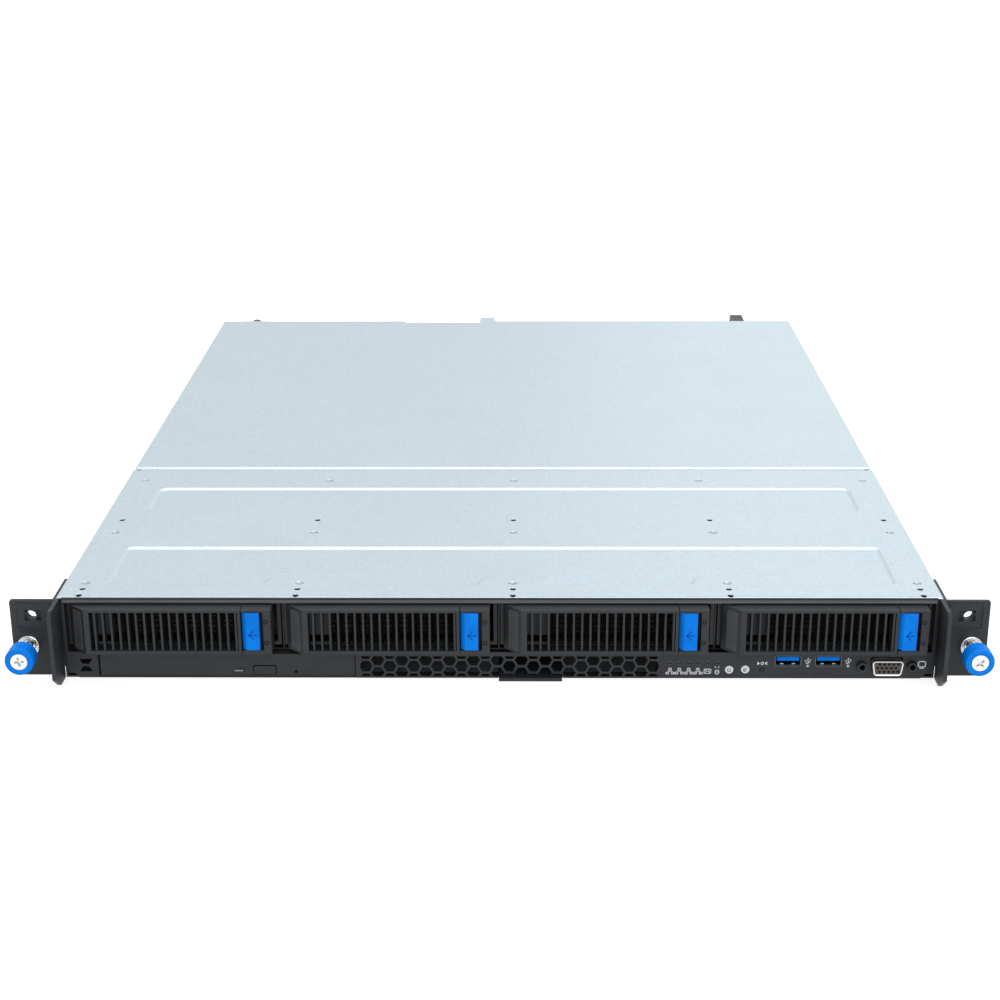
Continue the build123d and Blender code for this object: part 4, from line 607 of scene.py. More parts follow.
@dataclass(frozen=True)
class PaintAndShadeEnds(Finish):
    """Zinc-coated sheet whose front end, and maybe rear end, is dark: paint on some, painted shade
    on others.
    """

    # Colour of the dark ends: black paint on the tray and supply sheets, painted shade on the drive
    # case, both on the cage.
    paint: tuple[float, float, float]
    front: float
    rear: float = 10000.0
    rough: float = 0.46
    crystals: float = 700.0
    blend: float = 0.4

    def material(self, effects: SharedEffects) -> bpy.types.Material:
        """Builds the material: the dark end colour over the zinc before and behind two places on
        the depth.
        """
        material, g, shader, where = self.start()
        shade, lines, height = g.effect(effects.spangle, where, self.crystals)
        depth = g.add("ShaderNodeSeparateXYZ", {0: where}).outputs[1]
        front, rear = (MM * (end + ORIGIN_SHIFT) for end in (self.front, self.rear))
        blend = self.blend * MM
        before = g.spread(depth, front - blend, front + blend, 1.0, 0.0)
        behind = g.spread(depth, rear - blend, rear + blend, 0.0, 1.0)
        # Share of the dark end colour, which is black paint on some finishes and painted shade on
        # others.
        paint = g.maths("MAXIMUM", before, behind)
        bare = g.tint(shade, self.shade(0.93), self.shade())
        varied = g.maths("MULTIPLY", lines, 0.12)
        g.feed(shader, {"Base Color": g.tint(paint, bare, linear(*self.paint)),
                        "Metallic": g.maths("SUBTRACT", 1.0, paint),
                        "Roughness": g.maths("ADD", varied, self.rough)})
        self.bump(g, shader, height, 0.02, 0.35)
        return material


@dataclass(frozen=True)
class Plated(Finish):
    """Machined metal, bright or blackened."""

    rough: float = 0.22
    lines: float = 0.25

    def material(self, effects: SharedEffects) -> bpy.types.Material:
        """Builds the material: fine turning lines in gloss and bump, smears in gloss."""
        material, g, shader, where = self.start()
        smear, scuff = g.effect(effects.handling, where)
        fine = g.noise(where, 1.0 / (self.lines * MM), 3.0)
        varied = g.maths("ADD", g.maths("MULTIPLY", fine, 0.10), g.maths("MULTIPLY", smear, 0.06))
        g.feed(shader, {"Base Color": g.tint(scuff, self.shade(), self.shade(0.8)),
                        "Metallic": 1.0, "Roughness": g.maths("ADD", varied, self.rough)})
        self.bump(g, shader, fine, 0.01, 0.2)
        return material


@dataclass(frozen=True)
class Laminate(Finish):
    """Circuit board: solder mask with tracks and pads under it."""

    track: tuple[float, float, float]
    pad: tuple[float, float, float] = (196, 178, 120)

    def material(self, effects: SharedEffects) -> bpy.types.Material:
        """Builds the material: tracks from two stepped grids, raised a little under the mask."""
        material, g, shader, where = self.start()
        cells = g.add("ShaderNodeTexVoronoi", {"Vector": where, "Scale": 140.0}, feature="F1",
                      distance="CHEBYCHEV")
        runs = g.maths("FRACT", g.maths("MULTIPLY", cells.outputs["Distance"], 9.0))
        mask = g.spread(runs, 0.62, 0.70, 0.0, 1.0)
        vias = g.add("ShaderNodeTexVoronoi", {"Vector": where, "Scale": 260.0}).outputs[0]
        pads = g.spread(vias, 0.10, 0.13, 1.0, 0.0)
        colour = g.tint(mask, self.shade(), linear(*self.track))
        gloss = g.spread(g.noise(where, 400.0, 2.0), 0.3, 0.7, 0.32, 0.45)
        g.feed(shader, {"Base Color": g.tint(pads, colour, linear(*self.pad)),
                        "Roughness": gloss})
        self.bump(g, shader, mask, 0.03, 0.5)
        return material


@dataclass(frozen=True)
class Ink(Finish):
    """Printed mark."""

    def material(self, effects: SharedEffects) -> bpy.types.Material:
        """Builds the material: pad-printed ink that is a little thin in places."""
        material, g, shader, where = self.start()
        cover = g.spread(g.noise(where, 2600.0, 3.0), 0.35, 0.6, 0.0, 1.0)
        g.feed(shader, {"Base Color": g.tint(cover, self.shade(0.8), self.shade()),
                        "Roughness": 0.6})
        return material


@dataclass
class FinishShelf:
    """All finishes of the server, made when they are first asked for."""

    effects: SharedEffects = field(default_factory=SharedEffects)
    made: dict[str, bpy.types.Material] = field(default_factory=dict)
    finishes: dict[str, Finish] = field(default_factory=dict)

    def __post_init__(self) -> None:
        """Lists the finishes."""
        shelf: list[Finish] = [
            CoatedSheet("zinc_sheet", "silver_sheet", (192, 206, 213), 0.36, 0.9),
            CoatedSheet("inner_sheet", "silver_sheet", (176, 184, 188), 0.42, 1.4),
            PaintAndShadeEnds("tray_sheet", "silver_sheet", (188, 196, 200), (30, 31, 33), 5.0),
            # The cage's dark front 40 mm is black paint on its front edges and painted shade deeper
            # in.
            PaintAndShadeEnds("cage_sheet", "silver_sheet", (176, 184, 188), (18, 19, 20), 40.0),
            PaintAndShadeEnds("supply_sheet", "silver_sheet", (176, 184, 188), (34, 35, 37), -60.0,
                        541.6),
            # Painted shade: the drive's front 27 mm is near black because it lies in shade behind
            # the bay's bars.
            PaintAndShadeEnds("drive_case_front_shade", "cast_aluminium", (150, 154, 157), (8, 8, 9), 27.0),
            Moulded("black_paint_coat", "black_paint", (39, 42, 46), 0.48, 0.55, 0.03, 0.35),
            Moulded("black_moulding", "black_plastic", (37, 40, 43), 0.5, 0.45, 0.035, 0.35),
            Moulded("fan_moulding", "black_plastic", (34, 35, 38), 0.42, 0.6, 0.02, 0.5),
            Moulded("blue_moulding", "blue_plastic", (0, 124, 230), 0.45, 0.5, 0.01, 0.12),
            Moulded("deep_blue_moulding", "blue_plastic", (0, 84, 178), 0.5, 0.5, 0.01, 0.12),
            # Painted shade: near black, standing in for shade in holes, grooves and behind the bay
            # bars.
            Moulded("shadow_moulding", "black_plastic", (7, 8, 9), 0.7, 0.5, 0.02, 0.1),
            Moulded("label_field", "black_plastic", (62, 64, 66), 0.55, 0.7, 0.06, 0.4),
            Moulded("lens_moulding", "black_plastic", (22, 23, 25), 0.12, 0.5, 0.004, 0.7),
            Moulded("white_moulding", "white_plastic", (224, 226, 226), 0.4, 0.5, 0.01, 0.5),
            Moulded("connector_moulding", "connector_black", (24, 24, 26), 0.4, 0.5, 0.02, 0.5),
            Moulded("socket_moulding", "connector_black", (74, 70, 68), 0.5, 0.5, 0.02, 0.4),
            # Painted highlight: a lighter copy of the black paint for the bead, where light catches
            # the rail's lower edge.
            Moulded("rail_paint_highlight", "black_paint", (62, 64, 67), 0.4, 0.55, 0.02, 0.5),
            Plated("bright_plate", "bright_steel", (222, 222, 220), 0.16),
            Plated("dull_plate", "bright_steel", (188, 190, 190), 0.3),
            Plated("dark_plate", "bright_steel", (112, 112, 112), 0.34),
            Plated("blackened_steel", "black_steel", (52, 52, 54), 0.3),
            Plated("cast_metal", "cast_aluminium", (170, 173, 176), 0.42, 0.8),
            Laminate("board_mask", "circuit_board", (18, 70, 44), (32, 96, 62)),
            Ink("white_ink", "white_plastic", (226, 228, 230)),
            Ink("grey_ink", "white_plastic", (150, 153, 156)),
        ]
        self.finishes = {finish.name: finish for finish in shelf}

    def material(self, name: str) -> bpy.types.Material:
        """The named finish's material."""
        if name not in self.made:
            self.made[name] = self.finishes[name].material(self.effects)
        return self.made[name]

    def slot(self, name: str) -> str:
        """The record's slot that the named finish belongs to."""
        return self.finishes[name].slot

    def dress(self, node: str, finish: str) -> None:
        """Gives a node that stays as it is the named finish."""
        obj = frame["nodes"][node]
        for slot in obj.material_slots:
            slot.material = self.material(finish)


# Covers


@dataclass
class FrontCover:
    """Pressed front cover with two sunk panels, sunk screws, folded sides and a rolled edge."""

    half_width: float = 219.0
    back: float = 194.2
    step: float = 190.6
    sheet: float = 0.8
    fold: float = 1.2
    roll: float = 0.8
    drop: float = 11.0
    sunk: float = 0.95
    slope: float = 2.8
    panel_x: tuple[float, float] = (-198.0, 200.0)
    front_panel: tuple[float, float] = (15.5, 68.2)
    rear_panel: tuple[float, float] = (120.1, 160.5)
    panel_radii: tuple[float, float] = (4.4, 6.5)
    step_back: tuple[float, float, float] = (17.0, 13.8, 10.5)
    margin: float = 0.5
    screw_xs: tuple[float, ...] = (-208.0, -100.5, 7.0, 114.5, 209.5)
    screw_ys: tuple[float, ...] = (18.2, 88.9, 172.6)
    hole_ys: tuple[float, ...] = (10.5, 107.6)
    edge_hole_y: float = 2.5
    hole_radius: float = 1.67
    seat_radius: float = 2.35
    head_radius: float = 1.8
    calm: float = 0.4
    relief: tuple[float, float, float] = (215.4, 192.2, 1.25)

    def panels(self) -> list[np.ndarray]:
        """Outlines of both panels; the front one steps back round the inner screw groups."""
        x0, x1 = self.panel_x
        y0, y1 = self.front_panel
        foot, top, deep = self.step_back
        corners = [(x0, y0)]
        for x in self.screw_xs[1:-1]:
            corners += [(x - foot, y0), (x - top, y0 + deep), (x + top, y0 + deep), (x + foot, y0)]
        corners += [(x1, y0), (x1, y1), (x0, y1)]
        front_radius, rear_radius = self.panel_radii
        return [polygon(corners, front_radius, 7),
                rectangle(x0, x1, *self.rear_panel, rear_radius, 9)]

    def press(self, shell: Shell, outline: np.ndarray) -> np.ndarray:
        """Adds one panel: its edge falls by half a cosine wave over the slope's width."""
        t = np.linspace(0, 1, 9)
        inner = -self.slope - self.margin
        profile = [(self.margin, 0.0)]
        profile += [(-self.slope * s, -self.sunk * (1 - math.cos(math.pi * s)) / 2) for s in t]
        profile.append((inner, -self.sunk))
        shell.ring(outline, profile, Facing.TOP, HEIGHT)
        shell.flat(grown(outline, inner), [], Facing.TOP, HEIGHT, -self.sunk)
        return grown(outline, self.margin)

    def edge_rows(self) -> tuple[np.ndarray, np.ndarray]:
        """The rolled front edge and the lowered rear flange, as rows of depth and height.

        The front edge is a quarter circle. The flange falls by half a cosine wave over 1.6 mm and
        then runs level. Each has a short level row next to the flat part, which keeps it flat.
        """
        t = np.linspace(0, math.pi / 2, 5)
        roll = np.stack((self.roll * (1 - np.cos(t)), HEIGHT - self.roll * (1 - np.sin(t))), -1)
        roll = np.vstack((roll, (self.roll + self.calm, HEIGHT)))
        s = np.linspace(0, 1, 6)
        fall = np.stack((self.step + 1.6 * s,
                         HEIGHT - self.sunk * (1 - np.cos(math.pi * s)) / 2), -1)
        flange = np.vstack(((self.step - self.calm, HEIGHT), fall,
                            (self.back, HEIGHT - self.sunk)))
        return roll, flange

    def pierce(self, shell: Shell) -> list[np.ndarray]:
        """Adds the rims of all screw seats and holes, and returns the loops round them."""
        loops = []
        seat = [(0, 0), (-0.12, -0.04), (-0.4, -0.5), (-0.42, -0.9)]
        bore = [(0, 0), (-0.08, -0.03), (-0.12, -0.12), (-0.12, -0.6)]
        for ys, radius, profile in ((self.screw_ys, self.seat_radius, seat),
                                    ((*self.hole_ys, self.edge_hole_y), self.hole_radius, bore)):
            for x, y in ((x, y) for x in self.screw_xs for y in ys):
                rim = circle(x, y, radius, 24)
                shell.ring(rim, [(self.calm, 0), *profile], Facing.TOP, HEIGHT)
                loops.append(grown(rim, self.calm))
        return loops

    def build(self, maker: Maker) -> None:
        """Makes the pressed sheet, its screws, and dark discs at the seam's two relief holes as
        painted shade.
        """
        shell = Shell()
        holes = [self.press(shell, outline) for outline in self.panels()] + self.pierce(shell)
        side = self.half_width - self.fold
        edge = side - 0.5
        front, back = self.roll + self.calm, self.step - self.calm
        outer = np.array([(-edge, front), (edge, front), (edge, back), (-edge, back)])
        shell.flat(outer, holes, Facing.TOP, HEIGHT)
        roll, flange = self.edge_rows()
        for section in (roll, flange):
            left, right = (np.column_stack((np.full(len(section), x), section))
                           for x in (-edge, edge))
            shell.skin(np.stack((left, right), 1), closed=False)
        for sign in (-1, 1):
            add_fold(shell, sign, side, np.vstack((roll, flange)), self.fold, self.drop)
        finish_sheet(maker, shell, "front_cover_sheet", "chassis", ("front_top_cover",),
                     self.sheet)
        screws, relief_shades = Shell(), Shell()
        for i, x in enumerate(self.screw_xs):
            for j, y in enumerate(self.screw_ys):
                add_screw_head(screws, x, y, HEIGHT - 0.5, self.head_radius,
                               turn=0.5 * i + 0.9 * j)
        # Painted shade: dark discs just over the flange stand in for the shade inside the relief
        # holes.
        for sign in (-1, 1):
            relief_shades.prism(circle(sign * self.relief[0], self.relief[1], self.relief[2], 24), -0.5,
                          -0.42, Facing.TOP, HEIGHT)
        maker.shell("cover_screw_heads", screws, "dull_plate", "chassis", ("cover_screws",))
        maker.shell("seam_relief_hole_shades", relief_shades, "shadow_moulding", "chassis")


def add_fold(shell: Shell, sign: int, side: float, rows: np.ndarray, radius: float,
             drop: float) -> None:
    """Adds a sheet's folded side.

    Each row gives a depth and the top's height there. Its section is a quarter circle from the top
    to the upright wall: the point at angle t is (side + r sin t, top - r (1 - cos t)), followed by
    a straight drop.
    """
    t = np.linspace(0, math.pi / 2, 7)
    x = np.concatenate(([side - 0.5], side + radius * np.sin(t), [side + radius]))
    down = np.concatenate(([0.0], radius * (1 - np.cos(t))))
    z = np.column_stack((rows[:, 1:] - down, np.full(len(rows), HEIGHT - drop)))
    mesh = np.stack((np.broadcast_to(sign * x, z.shape), np.broadcast_to(rows[:, :1], z.shape), z),
                    -1)
    shell.skin(mesh if sign > 0 else mesh[::-1], closed=False)


def finish_sheet(maker: Maker, shell: Shell, name: str, body: str, nodes: tuple[str, ...],
                 thickness: float) -> bpy.types.Object:
    """Turns an open sheet into a piece with a wall inside it and crisp outer edges."""
    data = shell.mesh(name, closed=False)
    smooth(data, 50.0)
    used = np.zeros(len(data.loops), np.int32)
    sharp = np.zeros(len(data.edges), bool)
    data.loops.foreach_get("edge_index", used)
    data.edges.foreach_get("use_edge_sharp", sharp)
    sharp |= np.bincount(used, minlength=len(sharp)) == 1
    data.edges.foreach_set("use_edge_sharp", sharp)
    obj = maker.place(name, data, "zinc_sheet", body, nodes)
    wall = obj.modifiers.new("sheet_wall", "SOLIDIFY")
    wall.thickness = thickness * MM
    wall.offset = -1.0
    return obj


def cross_recess(u: np.ndarray, v: np.ndarray, reach: float, half: float) -> np.ndarray:
    """Depth share of a cross-shaped driver recess.

    Each arm is full inside its half width and fades over a third of it, and it tapers to nothing
    at the reach; the share at a point is the larger of the two arms' values.
    """
    def arm(along: np.ndarray, off: np.ndarray) -> np.ndarray:
        """One arm's depth share, from the place along it and across it."""
        width = half * (1.25 - 0.45 * np.abs(along) / reach)
        side = np.clip((width - np.abs(off)) / (half / 3) + 0.5, 0, 1)
        end = np.clip((reach - np.abs(along)) / (0.35 * reach), 0, 1)
        return side * end

    return np.maximum(arm(u, v), arm(v, u))


def add_screw_head(shell: Shell, x: float, y: float, top: float, radius: float,
                   turn: float) -> None:
    """Adds a flat screw head that faces up.

    The face is a polar grid: the point at (r, t) is lowered by a shallow dome, 0.06 r squared over
    the radius squared, and by the cross recess. A short wall closes it below.
    """
    r = radius * np.linspace(0.02, 1, 15)
    t = round_angles(48)
    rr, tt = np.meshgrid(r, t, indexing="ij")
    u, v = rr * np.cos(tt - turn), rr * np.sin(tt - turn)
    z = top - 0.06 * (rr / radius) ** 2 - 0.55 * cross_recess(u, v, 0.62 * radius, 0.13 * radius)
    rows = np.stack((x + rr * np.cos(tt), y + rr * np.sin(tt), z), -1)
    wall = rows[-1:].copy()
    wall[..., 2] = top - 0.9
    shell.skin(np.concatenate((rows, wall))[::-1], True, True, True)


@dataclass
class RearCover:
    """Plain rear cover with folded sides, a rounded front lip, a notch, a tab and a screw lug."""

    half_width: float = 218.5
    front: float = 194.6
    back: float = 541.5
    sheet: float = 0.8
    fold: float = 1.2
    drop: float = 11.0
    lip: tuple[float, float] = (2.0, 0.95)
    notch: tuple[float, float, float] = (-77.0, -22.0, 5.2)
    tab: tuple[float, float, float] = (-20.0, -9.0, 11.0)
    lug: tuple[float, float, float] = (-204.0, -184.0, 31.5)
    lug_front: float = 541.5
    lug_back: float = 542.5

    def rear_edge(self) -> np.ndarray:
        """The rear edge as (x, y) rows: level, with the notch cut in and the tab standing out.

        A corner of radius r between two square directions is a quarter circle. The tab's sides
        lean by their draft, so that every row lies to the right of the one before it.
        """
        n0, n1, deep = self.notch
        t0, t1, reach = self.tab
        y, draft = self.back, 0.25
        s = np.linspace(0.05, math.pi / 2 - 0.05, 5)
        rise = np.stack((t0 + 1.5 * (1 - np.cos(s)), y + reach - 1.5 * (1 - np.sin(s))), -1)
        fall = np.stack((t1 - 1.5 * (1 - np.sin(s)), y + reach - 1.5 * (1 - np.cos(s))), -1)
        foot = np.stack((t1 + draft + 3.0 * (1 - np.cos(s)), y + 3.0 * (1 - np.sin(s))), -1)
        side = self.half_width - self.fold - 0.5
        fixed = np.array([(-side, y), (-150.0, y), (n0 - 1.2, y), (n0, y - deep), (n1, y - deep),
                          (t0 - draft, y - deep + 0.8)])
        spread = np.linspace(foot[-1, 0] + 12.0, side, 5)
        level = np.stack((spread, np.full_like(spread, y)), -1)
        return np.vstack((fixed, rise, fall, foot, level))

    def build(self, maker: Maker) -> None:
        """Makes the sheet with its notch and tab, and the lug for the cover screw.

        The sheet is a grid: across the width its points share the rear edge's x, and along the
        depth they run from the rounded front lip, half a cosine wave, to that edge.
        """
        shell = Shell()
        edge = self.rear_edge()
        width, fall = self.lip
        s = np.linspace(0, 1, 8)
        lip = np.stack((self.front + width * s,
                        HEIGHT - fall * (1 + np.cos(math.pi * s)) / 2), -1)
        rows = np.vstack((lip, [(y, HEIGHT) for y in (197.2, 320.0, 450.0,
                                                      self.back - self.notch[2] - 3.0)]))
        grid = np.zeros((len(rows) + 1, len(edge), 3))
        grid[:-1, :, 0] = edge[:, 0]
        grid[:-1, :, 1:] = rows[:, None, :]
        grid[-1] = np.column_stack((edge, np.full(len(edge), HEIGHT)))
        shell.skin(grid, closed=False)
        rows = np.vstack((rows, (self.back, HEIGHT)))
        for sign in (-1, 1):
            add_fold(shell, sign, self.half_width - self.fold, rows, self.fold, self.drop)
        finish_sheet(maker, shell, "rear_cover_sheet", "rear_cover", ("rear_top_cover",),
                     self.sheet)
        l0, l1, low = self.lug
        lug = Shell()
        plate = polygon([(l0, low), (l1, low), (l1, HEIGHT - 0.02), (l0, HEIGHT - 0.02)], 1.0)
        lug.prism(plate, 0.0, self.lug_back - self.lug_front + 0.1, Facing.REAR,
                  self.lug_front - 0.1, 0.2)
        maker.shell("rear_cover_lug", lug, "zinc_sheet", "rear_cover")


# Thumbscrews in the ears


def side_name(side: int) -> str:
    """left or right, from the sign of the side."""
    return "left" if side < 0 else "right"


@dataclass
class EarScrew:
    """One captive thumbscrew: steel screw, blue grip and steel ferrule."""

    side: int
    x: float = 233.2
    z: float = 19.5
    face: float = -24.4
    radius: float = 7.1
    length: float = 9.4
    flutes: int = 24
    head: float = 4.25
    neck: float = 2.2
    stop: tuple[float, float, float] = (3.4, -14.7, -12.1)
    thread_run: tuple[float, float] = (-1.3, 4.0)
    thread: tuple[float, float, float] = (2.28, 0.2, 0.8)
    turn: float = 0.15

    def grip(self) -> Shell:
        """The grip: a turned profile whose outer wall carries shallow flutes.

        The outer wall's radius is multiplied by 1 - 0.02 (1 - |cos(n t / 2)|), with n flutes, and
        the flutes fade out towards both rims.
        """
        r, y, n = self.radius, self.face, self.length
        profile = np.array([(2.3, y + n), (r - 0.9, y + n), (r - 0.35, y + n - 0.15),
                            (r, y + n - 0.6), (r, y + n - 1.2), (r, y + 1.3), (r, y + 0.75),
                            (r - 0.2, y + 0.3), (r - 0.6, y + 0.06), (r - 1.0, y),
                            (4.62, y), (4.42, y + 0.12), (4.36, y + 0.4), (4.36, y + 3.1),
                            (2.3, y + 3.1), (2.3, y + n)])
        count = self.flutes * 8
        t = round_angles(count)
        wave = 0.028 * (1 - np.abs(np.cos(self.flutes * t / 2)) ** 0.7)
        weight = np.zeros(len(profile))
        weight[3:8] = (0.6, 1.0, 1.0, 0.6, 0.1)
        shell = Shell()
        shell.turned(profile, self.side * self.x, self.z, count, 1 - weight[:, None] * wave)
        return shell

    def screw(self) -> Shell:
        """The screw: head with a cross recess, then neck, stop collar and thread.

        The head's face is a polar grid lowered by a dome and the recess. Behind it the turned
        profile carries on, and the thread's radius follows a triangle wave along the depth.
        """
        y = self.face + 0.2
        r = self.head * np.linspace(0.01, 0.97, 22)
        t = round_angles(64)
        rr, tt = np.meshgrid(r, t, indexing="ij")
        u, v = rr * np.cos(tt - self.turn), rr * np.sin(tt - self.turn)
        depth = y - 0.14 * (1 - (rr / self.head) ** 2) + 1.5 * cross_recess(u, v, 2.5, 0.42)
        face = np.stack((self.side * self.x + rr * np.cos(tt), depth, self.z + rr * np.sin(tt)), -1)
        stop, y0, y1 = self.stop
        begin, end = self.thread_run
        core, rise, pitch = self.thread
        run = [(self.head, y + 0.12), (self.head, y + 2.6), (self.head - 0.2, y + 2.8),
               (self.neck, y + 2.8), (self.neck, y0), (stop - 0.2, y0), (stop, y0 + 0.2),
               (stop, y1 - 0.2), (stop - 0.2, y1), (self.neck, y1), (self.neck, begin)]
        run += [(core + rise * abs(((s / pitch) % 1) * 2 - 1), s)
                for s in np.linspace(begin, end, 34)]
        run += [(2.0, end + 0.5), (0.02, end + 0.5)]
        profile = np.array(run)
        tail = np.stack((self.side * self.x + profile[:, :1] * np.cos(t),
                         np.broadcast_to(profile[:, 1:], (len(profile), 64)),
                         self.z + profile[:, :1] * np.sin(t)), -1)
        shell = Shell()
        shell.skin(np.concatenate((face, tail)), True, True, True)
        return shell

    def ferrule(self) -> Shell:
        """The ferrule: a turned collar with a rounded rim and a funnel-shaped mouth."""
        bore, outer, flange = 2.8, 4.2, 5.5
        profile = np.array([(bore, -1.6), (outer, -1.6), (outer, -3.6), (flange, -3.6),
                            (flange, -5.2), (5.38, -5.55), (5.1, -5.75), (4.8, -5.8),
                            (4.5, -5.72), (3.3, -5.0), (2.9, -4.6), (bore, -4.2), (bore, -1.6)])
        shell = Shell()
        shell.turned(profile, self.side * self.x, self.z, 64)
        return shell

    def build(self, maker: Maker) -> None:
        """Makes the three pieces."""
        name = side_name(self.side)
        maker.shell(f"{name}_grip", self.grip(), "blue_moulding", f"{name}_thumb_knob",
                    (f"{name}_thumb_knob",))
        maker.shell(f"{name}_screw", self.screw(), "bright_plate", f"{name}_thumb_screw",
                    (f"{name}_thumb_screw",))
        nodes = ("screw_ferrules",) if self.side < 0 else ()
        maker.shell(f"{name}_ferrule", self.ferrule(), "bright_plate", "chassis", nodes)


@dataclass
class SlotSleeve:
    """Steel sleeve behind an ear's slot: a shallow tray and a tube for the rack screw."""

    side: int
    plate: tuple[float, float, float, float] = (223.9, 236.9, 30.0, 40.6)
    at: tuple[float, float] = (232.0, 33.8)
    bore: float = 2.75
    outer: float = 3.7
    front: float = -1.6
    rim: float = 0.5
    floor: float = -0.55
    wall: float = 0.8
    back: float = 5.4

    def build(self, maker: Maker) -> None:
        """Makes the sleeve: the tray's rim, its floor with the hole, then the tube's walls."""
        x0, x1 = sorted(self.side * x for x in self.plate[:2])
        x, z = self.side * self.at[0], self.at[1]
        outline = rectangle(x0, x1, *self.plate[2:], 1.5, 5)
        hole, wide = circle(x, z, self.bore, 48), circle(x, z, self.outer, 48)
        rear = self.floor + self.wall
        sleeve = Shell()
        sleeve.ring(outline, [(0.0, -rear), (0.0, -self.front), (-self.rim, -self.front),
                              (-self.rim, -self.floor)], Facing.FRONT, 0.0)
        sleeve.flat(grown(outline, -self.rim), [hole], Facing.FRONT, self.floor)
        sleeve.flat(outline, [wide], Facing.REAR, rear)
        sleeve.ring(hole, [(0.0, -self.floor), (0.0, -self.back)], Facing.FRONT, 0.0)
        sleeve.ring(wide, [(0.0, -self.back), (0.0, -rear)], Facing.FRONT, 0.0)
        sleeve.flat(wide, [hole], Facing.REAR, self.back)
        maker.shell(f"{side_name(self.side)}_slot_sleeve", sleeve, "black_paint_coat", "chassis")


# Drive bays


@dataclass
class BayDetail:
    """Small parts of one drive bay: the mesh behind its bars, near black as painted shade, label
    field and light pipes.
    """

    number: int
    mesh_x: tuple[float, float] = (-30.0, 32.5)
    mesh_z: tuple[float, float] = (17.7, 40.0)
    mesh_y: tuple[float, float] = (1.5, 2.0)
    pitch: float = 2.9
    hole: float = 1.05
    face: float = -9.6
    slant: tuple[tuple[float, float], tuple[float, float]] = ((-50.6, -1.8), (-42.5, -9.6))
    field_run: tuple[float, float] = (0.22, 0.80)
    field_z: tuple[float, float] = (18.2, 39.0)
    pipe_x: float = 47.0
    pipe_zs: tuple[float, ...] = (34.35, 23.25)
    arrow: tuple[float, float, float, float] = (38.6, 42.4, 27.5, 2.2)
    latch_face: float = -10.1

    @property
    def middle(self) -> float:
        """The bay's middle."""
        return BAY_CENTRES[self.number - 1]

    def mesh(self) -> Shell:
        """The perforated plate behind the grille.

        Every cell of the grid is a square ring: eight points round the cell and eight round its
        hole, at the front and at the back, joined over the four sides of the ring.
        """
        x0, x1 = self.mesh_x
        z0, z1 = self.mesh_z
        nx, nz = round((x1 - x0) / self.pitch), round((z1 - z0) / self.pitch)
        px, pz = (x1 - x0) / nx, (z1 - z0) / nz
        cx = self.middle + x0 + px * (np.arange(nx) + 0.5)
        cz = z0 + pz * (np.arange(nz) + 0.5)
        centre = np.stack(np.meshgrid(cx, cz, indexing="ij"), -1).reshape(-1, 1, 2)
        square = np.array([(1, 0), (1, 1), (0, 1), (-1, 1), (-1, 0), (-1, -1), (0, -1), (1, -1)])
        outer = centre + square * (px / 2, pz / 2)
        inner = centre + circle(0.0, 0.0, self.hole, 8)
        front, back = self.mesh_y
        rings = (lift(outer, 0.0, Facing.FRONT, front), lift(inner, 0.0, Facing.FRONT, front),
                 lift(inner, 0.0, Facing.FRONT, back), lift(outer, 0.0, Facing.FRONT, back))
        shell = Shell()
        first = shell.add(np.stack(rings, 1)) + 32 * np.arange(len(centre))[:, None, None, None]
        step = np.arange(8)
        after = (step + 1) % 8
        quads = np.stack([np.stack((8 * r + step, 8 * r + after, 8 * r + 8 + after,
                                    8 * r + 8 + step), -1) for r in range(3)])
        shell.join((first + quads).reshape(-1, 4))
        edge_x = self.middle + x0 + px / 2 * np.arange(2 * nx + 1)
        edge_z = z0 + pz / 2 * np.arange(2 * nz + 1)
        loop = np.vstack((np.stack((edge_x, np.full_like(edge_x, z0)), -1)[:-1],
                          np.stack((np.full_like(edge_z, edge_x[-1]), edge_z), -1)[:-1],
                          np.stack((edge_x, np.full_like(edge_x, z1)), -1)[:0:-1],
                          np.stack((np.full_like(edge_z, edge_x[0]), edge_z), -1)[:0:-1]))
        shell.skin(np.stack([lift(loop, 0.0, Facing.FRONT, y) for y in (back, front)]))
        return shell

    def label_field(self) -> Shell:
        """The rough field on the lever's slanted end.

        Its outline is a rounded rectangle of (run, height) on the slanted face. A point lies at
        the face's start plus its run along the face, and its rim rises by a rounded step.
        """
        a, b = np.array(self.slant)
        length = float(np.linalg.norm(b - a))
        along = (b - a) / length
        normal = np.array((along[1], -along[0]))
        run0, run1 = (share * length for share in self.field_run)
        loop = rectangle(run0, run1, *self.field_z, 0.8, 4)
        loops = []
        for g, h in ((0.0, -0.1), (0.0, 0.12), (-0.08, 0.22), (-0.22, 0.26), (-0.45, 0.26),
                     (-0.55, 0.16), (-0.7, 0.14)):
            uv = grown(loop, g)
            plan = a + uv[:, :1] * along + h * normal
            loops.append(np.column_stack((self.middle + plan[:, 0], plan[:, 1], uv[:, 1])))
        shell = Shell()
        shell.skin(np.stack(loops), True, True, True)
        return shell

    def light_pipes(self) -> tuple[Shell, Shell]:
        """The light pipes as turned profiles: domed lenses, and dark rings round them as painted
        shade.
        """
        y = self.face
        dome = np.array([(0.02, y + 0.3), (0.02, y - 0.2), (0.35, y - 0.15), (0.6, y - 0.02),
                         (0.68, y + 0.3)])
        ring = np.array([(0.7, y + 0.3), (0.7, y - 0.02), (1.12, y - 0.05), (1.2, y + 0.3)])
        lenses, rings = Shell(), Shell()
        for z in self.pipe_zs:
            lenses.turned(dome, self.middle + self.pipe_x, z, 24)
            rings.turned(ring, self.middle + self.pipe_x, z, 32)
        return lenses, rings

    def latch_mark(self) -> Shell:
        """The raised mark on the latch: an arrow that points to the lever."""
        x0, x1, z, reach = self.arrow
        lines = [path([(x0 + reach, z + reach), (x0, z), (x0 + reach, z - reach)]),
                 path([(x0, z), (x1, z)])]
        shell = Shell()
        shell.strokes(np.vstack(lines) + (self.middle, 0.0), 0.5, Facing.FRONT, self.latch_face,
                      0.28)
        return shell

